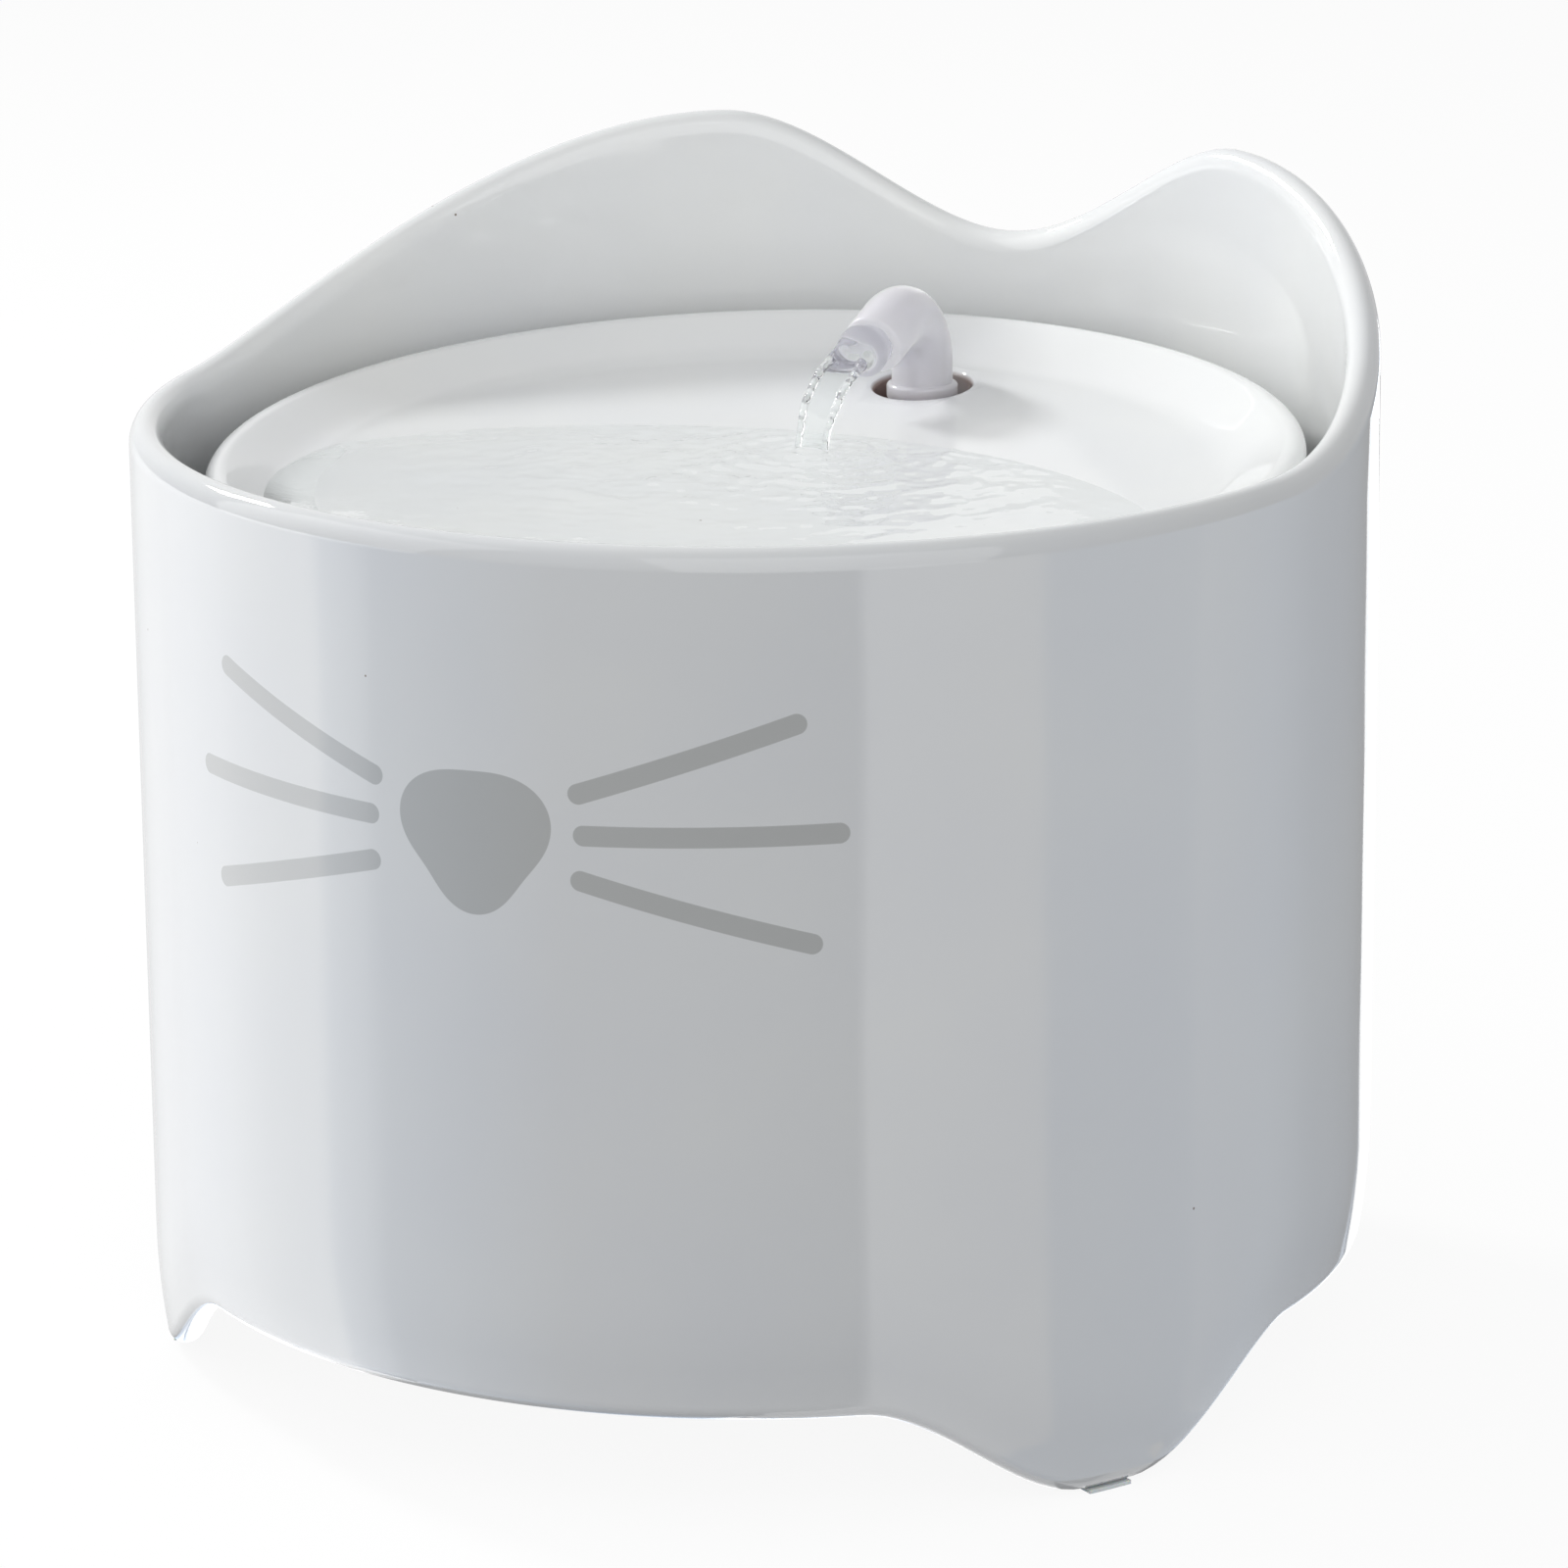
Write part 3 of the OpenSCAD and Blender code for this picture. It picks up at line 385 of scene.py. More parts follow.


# the glaze of the bowl, with painted shade darkening and cooling its outer wall, and its face, or of the
# dish, with painted shade darkening the wall of its hole to brown
def glazeMaterial(name, withFace):
    settings = glazeSettings
    material, made, shader, place = newMaterial(name)
    depth = useGroup(made, glazeDepth, place)
    tone = made.remap(depth.outputs["Cloud"], 0.35, 0.65)
    colour = made.blend(tone, settings["white"], settings["cool"])
    if withFace:
        # painted shade: the outer wall's colour is multiplied down to a darker, bluer tone than the inside
        paintedOuterShade = made.add("ShaderNodeMix", data_type="RGBA", blend_type="MULTIPLY")
        onWall = made.remap(radiusFrom(made, place, 0, 0), settings["outerFrom"] * mm,
                            settings["outerTo"] * mm)
        made.link(onWall, paintedOuterShade.inputs[0])
        made.link(colour, paintedOuterShade.inputs[6])
        paintedOuterShade.inputs[7].default_value = settings["outer"]
        colour = made.blend(facePrint(made, place), paintedOuterShade.outputs[2], settings["printGrey"])
    else:
        # painted shade: the wall of the hole is darkened to a dark brown, standing in for the dark seen down
        # the hole
        hole, fromHole = dishSettings["holeRadius"], radiusFrom(made, place, 0, dishSettings["holeAt"] * mm)
        inHole = made.remap(fromHole, (hole + settings["holeShadeFrom"]) * mm, (hole + settings["holeShadeTo"]) * mm)
        colour = made.blend(inHole, colour, settings["paintedHoleShade"])
    colour = made.blend(depth.outputs["Specks"], colour, settings["speck"])
    made.link(colour, shader.inputs["Base Color"])
    roughness = made.remap(depth.outputs["Cloud"], 0.3, 0.7, settings["roughness"] - settings["smoother"],
                           settings["roughness"] + settings["rougher"])
    made.link(roughness, shader.inputs["Roughness"])
    made.link(depth.outputs["Normal"], shader.inputs["Normal"])
    shader.inputs["IOR"].default_value = 1.52
    return material


# bowl
bowlSettings = {
    "radius": 95.0, "wall": 5.2, "rimHeight": 147.0, "earRise": 29.0, "earAngle": 150.5, "riseAngle": 82.0,
    "dip": 18.6, "lipHeight": 3.4, "floorTop": 30.0, "floorThickness": 6.0, "floorFillet": 10.0,
    "floorMiddle": 40.0, "footHeight": 0.6, "archHeight": 16.2, "footFlat": 2.4, "footSlope": 22.2,
    "tuck": 1.2, "tuckHeight": 16.0, "skirtFillet": 3.0, "ledgeDepth": 14.5, "ledgeFlat": 3.5,
    "ledgeSide": 5.0, "ledgeMin": 0.3, "ledgeDrop": 12.1, "ledgeThickness": 4.0, "ledgeSlope": 12.0,
    "columns": 288, "cordHeight": 126.4, "cordHole": 8.0, "grommetSeat": 12.8, "seatDepth": 1.4,
}
dishSettings = {
    "height": 140.9, "tilt": 3.0, "radius": 84.0, "thickness": 4.6, "rimRadius": 2.4, "bandWidth": 13.0,
    "bandDrop": 5.0, "middleDrop": 7.5, "seatThickness": 5.6, "seatChamfer": 1.2, "seatWidth": 8.0,
    "floorSteps": (0, 8, 16, 24, 32, 40, 48, 56, 62, 66), "easeFrom": 68.5, "easeTo": 75.0,
    "underSteps": (69, 60, 50, 40, 30, 20, 10, 0), "bandSet": 0.6, "bandSink": 0.15, "rimSet": 0.32,
    "holeAt": 60.0, "holeRadius": 7.75, "holeRound": 1.1, "columns": 256,
}
bowlGlaze = glazeMaterial("bowlGlaze", True)
dishGlaze = glazeMaterial("dishGlaze", False)


# height of the rim, of the lower edge, and of a plane of the tilted dish; angle 0 is the front
def rimHeight(angle):
    s = bowlSettings
    f = angle if angle <= 180 else 360 - angle
    rise = smoothStep((f - s["riseAngle"]) / (s["earAngle"] - s["riseAngle"]))
    fall = smoothStep((f - s["earAngle"]) / (180 - s["earAngle"]))
    return s["rimHeight"] + s["earRise"] * rise - s["dip"] * fall


def edgeHeight(angle):
    s = bowlSettings
    fromFoot = abs(angle % 120 - 60)
    return s["footHeight"] + s["archHeight"] * smoothStep((fromFoot - s["footFlat"]) / s["footSlope"])


def dishPlane(r, angle, drop):
    tilt = math.radians(dishSettings["tilt"])
    middle = dishSettings["height"] - r * math.cos(math.radians(angle)) * math.tan(tilt)
    return middle - drop / math.cos(tilt)


def arcPoints(cx, cz, rx, rz, first, last, count):
    return [(cx + rx * math.cos(math.radians(mix(first, last, k / count))),
             cz + rz * math.sin(math.radians(mix(first, last, k / count)))) for k in range(count + 1)]


# the wall's outline at one angle, from under the floor round the lip to the middle of the floor
def bowlSection(angle):
    s = bowlSettings
    outer, inner = s["radius"], s["radius"] - s["wall"]
    edgeRound = s["wall"] / 2
    edgeMiddle = outer - s["tuck"] - edgeRound
    skirt, under = edgeMiddle - edgeRound, s["floorTop"] - s["floorThickness"]
    lip, edge = rimHeight(angle), edgeHeight(angle) + edgeRound
    fromLedge = 60 - abs(angle % 120 - 60)
    reach = mix(s["ledgeDepth"], s["ledgeMin"], smoothStep((fromLedge - s["ledgeFlat"]) / s["ledgeSide"]))
    top, tip = (dishPlane(r, angle, s["ledgeDrop"]) for r in (inner, inner - reach))
    fillet = s["skirtFillet"]
    points = [(0, under), (s["floorMiddle"], under)]
    points += arcPoints(skirt - fillet, under - fillet, fillet, fillet, 90, 0, 5)
    points += arcPoints(edgeMiddle, edge, edgeRound, edgeRound, 180, 360, 12)
    points += [(outer - s["tuck"] * (1 - u / 8) ** 2, edge + s["tuckHeight"] * u / 8) for u in range(1, 9)]
    low, high = edge + s["tuckHeight"], lip - s["lipHeight"]
    points += [(outer, mix(low, high, k / 10)) for k in range(1, 10)]
    points += arcPoints(outer - s["wall"] / 2, high, s["wall"] / 2, s["lipHeight"], 0, 180, 18)
    points += [(inner, mix(high, top + 0.6, k / 3)) for k in (1, 2, 3)]
    points += [(inner - reach * 0.05, top), (inner - reach * 0.9, mix(top, tip, 0.9)),
               (inner - reach, tip - 0.5), (inner - reach, tip - s["ledgeThickness"] + 0.5),
               (inner - reach * 0.94, tip - s["ledgeThickness"] - 0.6)]
    foot = tip - s["ledgeThickness"] - s["ledgeSlope"]
    points += [(inner, foot)]
    filletTop = s["floorTop"] + s["floorFillet"]
    points += [(inner, mix(foot, filletTop, k / 4)) for k in (1, 2, 3)]
    points += arcPoints(inner - s["floorFillet"], filletTop, s["floorFillet"], s["floorFillet"], 0, -90, 8)
    points += [(s["floorMiddle"], s["floorTop"]), (0, s["floorTop"])]
    return points


def makeBowl():
    s = bowlSettings
    bowl = drawProfile("ceramicBowl", bowlSection(60))
    spinRound(bowl, s["columns"])
    shapeRings(bowl, bowlSection)
    far = s["radius"] + s["wall"]
    for radius, near in ((s["cordHole"] / 2, s["radius"] - 3 * s["wall"]),
                         (s["grommetSeat"] / 2, s["radius"] - s["seatDepth"] + 0.05)):
        clearSelection()
        bpy.ops.mesh.primitive_cylinder_add(vertices=48, radius=radius * mm, depth=(far - near) * mm,
                                            location=(0, (near + far) / 2 * mm, s["cordHeight"] * mm),
                                            rotation=(math.pi / 2, 0, 0))
        cutAway(bowl, bpy.context.object)
    smoothShade(bowl, 40)
    bowl.data.materials.append(bowlGlaze)
    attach(bowl, "bowl")
    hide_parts("bowl")
    print("bowl made")


makeBowl()


# dish
def dishFloor(r):
    s = dishSettings
    bandRadius = s["radius"] - s["bandWidth"]
    return -(s["middleDrop"] - (s["middleDrop"] - s["bandDrop"]) * (r / bandRadius) ** 2)


# the dish's outline: floor, sloping band, rolled rim, seat ring and underside
def dishSection():
    s = dishSettings
    bandRadius, rimMiddle = s["radius"] - s["bandWidth"], s["radius"] - s["rimRadius"]
    seat = -(2 * s["rimRadius"] + s["seatThickness"])
    points = [(r, dishFloor(r)) for r in s["floorSteps"]]
    rimStart = arcPoints(rimMiddle, -s["rimRadius"], s["rimRadius"], s["rimRadius"], 120, 0, 12)
    low, high = Vector((s["easeFrom"], dishFloor(s["easeFrom"]))), Vector(rimStart[0])
    corner = Vector((bandRadius + s["bandSet"], -s["bandDrop"] - s["bandSink"]))
    rise = Vector((s["easeTo"], mix(corner.y, high.y, (s["easeTo"] - corner.x) / (high.x - corner.x))))
    for k in range(7):  # the ease between the floor and the sloping band
        t = k / 6
        points.append(tuple((1 - t) ** 2 * low + 2 * t * (1 - t) * corner + t * t * rise))
    points += [tuple(rise.lerp(high, k / 4)) for k in (1, 2, 3)]
    points += rimStart
    points += [(s["radius"], seat + 1.0), (s["radius"] - 0.35, seat + 0.35),
               (s["radius"] - s["seatChamfer"], seat)]
    points += [(s["radius"] - s["seatWidth"], seat), (bandRadius + 2, -s["bandDrop"] - s["thickness"])]
    points += [(r, dishFloor(r) - s["thickness"]) for r in s["underSteps"]]
    return points


def dishPlace():
    return (Matrix.Translation((0, 0, dishSettings["height"] * mm))
            @ Matrix.Rotation(math.radians(dishSettings["tilt"]), 4, "X"))


def makeDish():
    s = dishSettings
    dish = drawProfile("drinkingDish", dishSection())
    spinRound(dish, s["columns"])
    dish.data.attributes.remove(dish.data.attributes["row"])
    level = dishFloor(s["holeAt"])
    hole, soft = s["holeRadius"], s["holeRound"]
    profile = [(0, -20), (hole, -20)]
    for t in range(0, 91, 15):  # the rounded edge of the hole
        across, up = 1 - math.cos(math.radians(t)), 1 - math.sin(math.radians(t))
        profile.append((hole + soft * across, level - soft * up))
    profile += [(hole + soft + 0.6, level + 0.25), (hole + soft + 0.6, 5), (0, 5)]
    cutter = drawProfile("holeCutter", profile)
    spinRound(cutter, 96)
    slope = (dishFloor(s["holeAt"] + 1) - dishFloor(s["holeAt"] - 1)) / 2
    for vertex in cutter.data.vertices:
        if vertex.co.z > (level - 2 * soft) * mm:
            vertex.co.z += slope * vertex.co.y
    cutter.data.transform(Matrix.Translation((0, s["holeAt"] * mm, 0)))
    cutAway(dish, cutter)
    dish.data.transform(dishPlace())
    smoothShade(dish, 30)
    dish.data.materials.append(dishGlaze)
    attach(dish, "dish")
    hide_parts("dish")
    print("dish made")


makeDish()


# spout
spoutSettings = {
    "at": 60.0, "outer": 4.9, "bore": 3.2, "neckHeight": 141.8, "neckRadius": 9.0, "bend": 110.0, "tip": 6.5,
    "ringHeight": 137.4, "ringRadius": 5.7, "ringHalf": 1.3, "ringRound": 0.6, "foot": 126.1, "step": 128.1,
    "stemRadius": 3.55, "stemBore": 2.5, "stemBottom": 112.6, "mouthRound": 0.55, "columns": 64,
    "bendSteps": 30,
}


def spoutMaterial():
    material, made, shader, place = newMaterial("milkySpout")
    grain = useGroup(made, mouldGrain, place, Scale=700.0, Strength=0.05, Roughness=0.16, Spread=0.08)
    made.link(made.blend(grain.outputs["Tone"], (0.885, 0.87, 1.0, 1), (0.915, 0.90, 1.0, 1)),
              shader.inputs["Base Color"])
    made.link(grain.outputs["Roughness"], shader.inputs["Roughness"])
    made.link(grain.outputs["Normal"], shader.inputs["Normal"])
    shader.inputs["Transmission Weight"].default_value = 0.32
    shader.inputs["IOR"].default_value = 1.45
    shader.inputs["Subsurface Weight"].default_value = 0.85
    shader.inputs["Subsurface Scale"].default_value = 0.004
    shader.inputs["Subsurface Radius"].default_value = (1.0, 1.0, 1.0)
    shader.inputs["Sheen Weight"].default_value = 0.8
    shader.inputs["Sheen Roughness"].default_value = 0.35
    return material


# middle of the spout's mouth and the direction in which it points
def neckEnd():
    s = spoutSettings
    bend = math.radians(s["bend"])
    along = Vector((0, -math.sin(bend), math.cos(bend)))
    start = Vector((0, s["at"] - s["neckRadius"] * (1 - math.cos(bend)),
                    s["neckHeight"] + s["neckRadius"] * math.sin(bend)))
    return start + along * s["tip"], along


def makeSpout():
    s = spoutSettings
    top, ring = s["neckHeight"], s["ringHeight"]
    high, low, soft = ring + s["ringHalf"], ring - s["ringHalf"], s["ringRound"]
    bulge = s["ringRadius"] - soft
    points = [(s["outer"], top), (s["outer"], high + 0.25), (s["outer"] + 0.08, high + 0.06)]
    points += arcPoints(bulge, high - soft, soft, soft, 90, 0, 5)
    points += arcPoints(bulge, low + soft, soft, soft, 0, -90, 5)
    points += [(s["outer"], low), (s["outer"], s["foot"] + 0.3), (s["outer"] - 0.3, s["foot"]),
               (s["stemRadius"], s["foot"]), (s["stemRadius"], s["stemBottom"] + 0.2),
               (s["stemRadius"] - 0.2, s["stemBottom"]), (s["stemBore"], s["stemBottom"]),
               (s["stemBore"], s["step"]), (s["bore"], s["step"] + 0.7), (s["bore"], top)]
    spout = drawProfile("swanNeckSpout", points)
    spinRound(spout, s["columns"])
    spout.data.attributes.remove(spout.data.attributes["row"])
    startEdit(spout, selectAll=False)
    selectWhere(spout, lambda p: p.z > top - 0.001)
    bpy.ops.mesh.spin(steps=s["bendSteps"], angle=-math.radians(s["bend"]),
                      center=(0, -s["neckRadius"] * mm, top * mm), axis=(1, 0, 0))
    end, along = neckEnd()
    bpy.ops.mesh.extrude_region_move(TRANSFORM_OT_translate={"value": along * s["tip"] * mm})
    bpy.ops.mesh.bridge_edge_loops()
    endEdit()
    spout.data.transform(Matrix.Translation((0, s["at"] * mm, 0)))
    startEdit(spout, selectAll=False)
    selectWhere(spout, lambda p: abs((p - end).dot(along)) < 0.001)
    bpy.ops.mesh.select_mode(type="EDGE")
    bpy.ops.mesh.region_to_loop()
    bpy.ops.mesh.bevel(offset=s["mouthRound"] * mm, segments=4, affect="EDGES")
    bpy.ops.mesh.select_all(action="SELECT")
    bpy.ops.mesh.remove_doubles(threshold=1e-6)
    bpy.ops.mesh.normals_make_consistent(inside=False)
    endEdit()
    smoothShade(spout, 40)
    spout.data.materials.append(spoutMaterial())
    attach(spout, "spout")
    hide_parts("spout")
    print("spout made")


makeSpout()


# water
poolSettings = {
    "level": 135.6, "landing": (0.0, 19.6), "overrun": 0.04, "rippleFade": 6.0, "rows": 170, "bottomRows": 10,
    "columns": 360, "sink": 0.08, "reach": 110.0, "searchStep": 0.5, "halvings": 12, "sketch": 50.0,
    "crowding": 1.25,
}
rippleSettings = {
    "ringHeight": 0.2, "ringFade": 18.0, "ringLength": 3.4, "ringGrowth": 0.03, "chopHeight": 0.34,
    "chopFade": 50.0, "chopSize": 4.6, "farHeight": 0.08, "farSize": 11.0, "moundHeight": 0.8,
    "moundRadius": 3.4, "warpSize": 9.0, "warp": 1.5, "still": 4.0,
}
streamSettings = {
    "start": -3.0, "control": (0.0, 23.0, 148.0), "end": 136.1, "boreFill": 3.3, "bulge": 0.9, "width": 4.2,
    "narrowing": 0.34, "strand": 1.15, "thinning": 0.6, "film": 0.1, "beads": 0.5, "beadPitch": 22.0,
    "stations": 120, "columns": 192, "lead": 20.0, "formFrom": 0.11, "formSpan": 0.3, "bulgeAt": 0.1,
    "bulgeSpan": 0.07, "wander": 0.35, "sway": 0.4, "filmEdge": 0.55, "filmSpan": 0.3,
}


def waterMaterial():
    material, made, shader, place = newMaterial("clearWater")
    shader.inputs["Base Color"].default_value = (0.93, 0.95, 0.945, 1)
    shader.inputs["Roughness"].default_value = 0.0
    shader.inputs["IOR"].default_value = 1.333
    shader.inputs["Transmission Weight"].default_value = 1.0
    shader.inputs["Specular IOR Level"].default_value = 0.3
    fine = made.add("ShaderNodeBump")
    fine.inputs["Distance"].default_value = 0.0001
    fine.inputs["Strength"].default_value = 0.15
    made.link(made.noise(place, 420.0, 2.0), fine.inputs["Height"])
    made.link(fine.outputs["Normal"], shader.inputs["Normal"])
    path = made.add("ShaderNodeLightPath")
    clear = made.add("ShaderNodeBsdfTransparent")
    both = made.add("ShaderNodeMixShader")
    through = made.maths("MAXIMUM", path.outputs["Is Shadow Ray"], path.outputs["Is Diffuse Ray"])
    made.link(through, both.inputs[0])
    made.link(shader.outputs[0], both.inputs[1])
    made.link(clear.outputs[0], both.inputs[2])
    output = next(n for n in made.tree.nodes if n.type == "OUTPUT_MATERIAL")
    made.link(both.outputs[0], output.inputs["Surface"])
    return material


clearWater = waterMaterial()


# height of the dish's upper face over a point, in mm
def dishTop(x, y):
    s = dishSettings
    r = math.hypot(x, y)
    band, rim = s["radius"] - s["bandWidth"] + s["bandSet"], s["radius"] - s["rimRadius"] * 1.5
    if r < band:
        drop = dishFloor(r)
    else:
        drop = mix(-s["bandDrop"] - s["bandSink"], -s["rimSet"], min(1.0, (r - band) / (rim - band)))
    tilt = math.radians(s["tilt"])
    return s["height"] + y * math.tan(tilt) + drop / math.cos(tilt)


# rings round the landing, choppy wavelets, a slow swell, and the mound under the stream
def rippleHeight(x, y):
    s = rippleSettings
    dx, dy = x - poolSettings["landing"][0], y - poolSettings["landing"][1]
    d = math.hypot(dx, dy)
    warp = noise.noise(Vector((x / s["warpSize"], y / s["warpSize"], 3.1))) * s["warp"]
    length = s["ringLength"] + d * s["ringGrowth"]
    fade = smoothStep(d / s["still"])
    ring = s["ringHeight"] * math.exp(-d / s["ringFade"]) * fade
    ring *= math.sin(2 * math.pi * (d + warp) / length)
    rough = noise.noise(Vector((x / s["chopSize"], y / s["chopSize"] * 0.8, 1.7)))
    rough += 0.5 * noise.noise(Vector((x / s["chopSize"] * 2.3, y / s["chopSize"] * 2.0, 8.2)))
    chop = s["chopHeight"] * math.exp(-(d / s["chopFade"]) ** 2) * rough * fade
    far = s["farHeight"] * noise.noise(Vector((x / s["farSize"], y / s["farSize"], 5.5)))
    mound = s["moundHeight"] * math.exp(-(d / s["moundRadius"]) ** 2)
    return ring + chop + far + mound


# how far the water reaches from the landing in one direction
def poolReach(dx, dy):
    s = poolSettings
    cx, cy = s["landing"]
    step = s["searchStep"]
    d = step
    while d < s["reach"] and dishTop(cx + dx * d, cy + dy * d) < s["level"] + s["overrun"]:
        d += step
    low, high = d - step, d
    for _ in range(s["halvings"]):
        middle = (low + high) / 2
        if dishTop(cx + dx * middle, cy + dy * middle) > s["level"] + s["overrun"]:
            high = middle
        else:
            low = middle
    return low


def makePool():
    s = poolSettings
    cx, cy = s["landing"]
    count = s["rows"]
    shares = [(k / count) ** s["crowding"] for k in range(count + 1)]
    bottom = [1 - (k / s["bottomRows"]) for k in range(1, s["bottomRows"] + 1)]
    outline = [(t * s["sketch"], 0) for t in shares] + [(t * s["sketch"], -1) for t in bottom]
    pool = drawProfile("waterPool", outline)
    spinRound(pool, s["columns"])
    rows = [round(v.value) for v in pool.data.attributes["row"].data]
    reaches = {}
    for vertex, row in zip(pool.data.vertices, rows):
        x, y = vertex.co.x, vertex.co.y
        angle = round(math.atan2(y, x), 4) if math.hypot(x, y) > 1e-6 else 0.0
        dx, dy = math.cos(angle), math.sin(angle)
        if angle not in reaches:
            reaches[angle] = poolReach(dx, dy)
        share = shares[row] if row <= count else bottom[row - count - 1]
        d = reaches[angle] * share
        x, y = cx + dx * d, cy + dy * d
        if row > count:
            z = dishTop(x, y) - s["sink"]
        else:
            z = s["level"] + rippleHeight(x, y) * smoothStep((reaches[angle] - d) / s["rippleFade"])
        vertex.co = (x * mm, y * mm, z * mm)
    pool.data.attributes.remove(pool.data.attributes["row"])
    startEdit(pool)
    bpy.ops.mesh.normals_make_consistent(inside=False)
    endEdit()
    smoothShade(pool, 60)
    pool.data.materials.append(clearWater)
    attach(pool, "dish")
    print("pool made")


# the falling sheet between its two thick edges, from inside the mouth down to the pool
def makeStream():
    s = streamSettings
    mouth, along = neckEnd()
    landing = Vector((*poolSettings["landing"], s["end"]))
    control = Vector(s["control"])

    def centre(t):
        if t < 0:
            return mouth + (control - mouth).normalized() * t * s["lead"]
        return mouth * (1 - t) ** 2 + control * 2 * t * (1 - t) + landing * t * t

    clearSelection()
    bpy.ops.mesh.primitive_cylinder_add(vertices=s["columns"], radius=mm, depth=mm, end_fill_type="TRIFAN")
    stream = bpy.context.object
    stream.name = stream.data.name = "waterStream"
    startEdit(stream, selectAll=False)
    bpy.ops.mesh.select_mode(type="EDGE")
    endEdit()
    for edge in stream.data.edges:
        a, b = (stream.data.vertices[k].co for k in edge.vertices)
        edge.select = abs(a.z - b.z) > 0.5 * mm
    bpy.ops.object.mode_set(mode="EDIT")
    bpy.ops.mesh.subdivide(number_cuts=s["stations"])
    endEdit()
    for vertex in stream.data.vertices:
        t = mix(s["start"] / s["lead"], 1.0, 0.5 - vertex.co.z / mm)
        bearing = math.atan2(vertex.co.y, vertex.co.x)
        share = math.hypot(vertex.co.x, vertex.co.y) / mm
        ahead = (centre(t + 0.01) - centre(t - 0.01)).normalized()
        side = Vector((1, 0, 0))
        up = side.cross(ahead).normalized()
        if t < 0.02:
            ahead, up = along, side.cross(along).normalized()
        form = smoothStep((t - s["formFrom"]) / s["formSpan"])  # from the round jet to the sheet
        c, n = math.cos(bearing), math.sin(bearing)
        hand = 1 if c > 0 else -1
        bead = 1 + s["beads"] * noise.noise(Vector((t * s["beadPitch"], 4.0 * hand, 0.3))) * 2 * form
        swell = s["boreFill"] + s["bulge"] * math.exp(-((t - s["bulgeAt"]) / s["bulgeSpan"]) ** 2)
        width = mix(swell, s["width"] * (1 - s["narrowing"] * t), form)
        width += s["wander"] * noise.noise(Vector((t * 6, 0.5, 2))) * form
        edge = smoothStep((abs(c) - s["filmEdge"]) / s["filmSpan"])
        rim = s["film"] + s["strand"] * bead * (1 - s["thinning"] * t) * edge
        thick = mix(swell, rim, form)
        sway = s["sway"] * noise.noise(Vector((t * 5, 7.0 * hand, 1.1))) * form * abs(c)
        vertex.co = (centre(t) + side * width * c * share + up * (thick * n * share + sway)) * mm
    startEdit(stream)
    bpy.ops.mesh.normals_make_consistent(inside=False)
    endEdit()
    smoothShade(stream, 60)
    stream.data.materials.append(clearWater)
    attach(stream, "spout")
    print("stream made")


makePool()
makeStream()


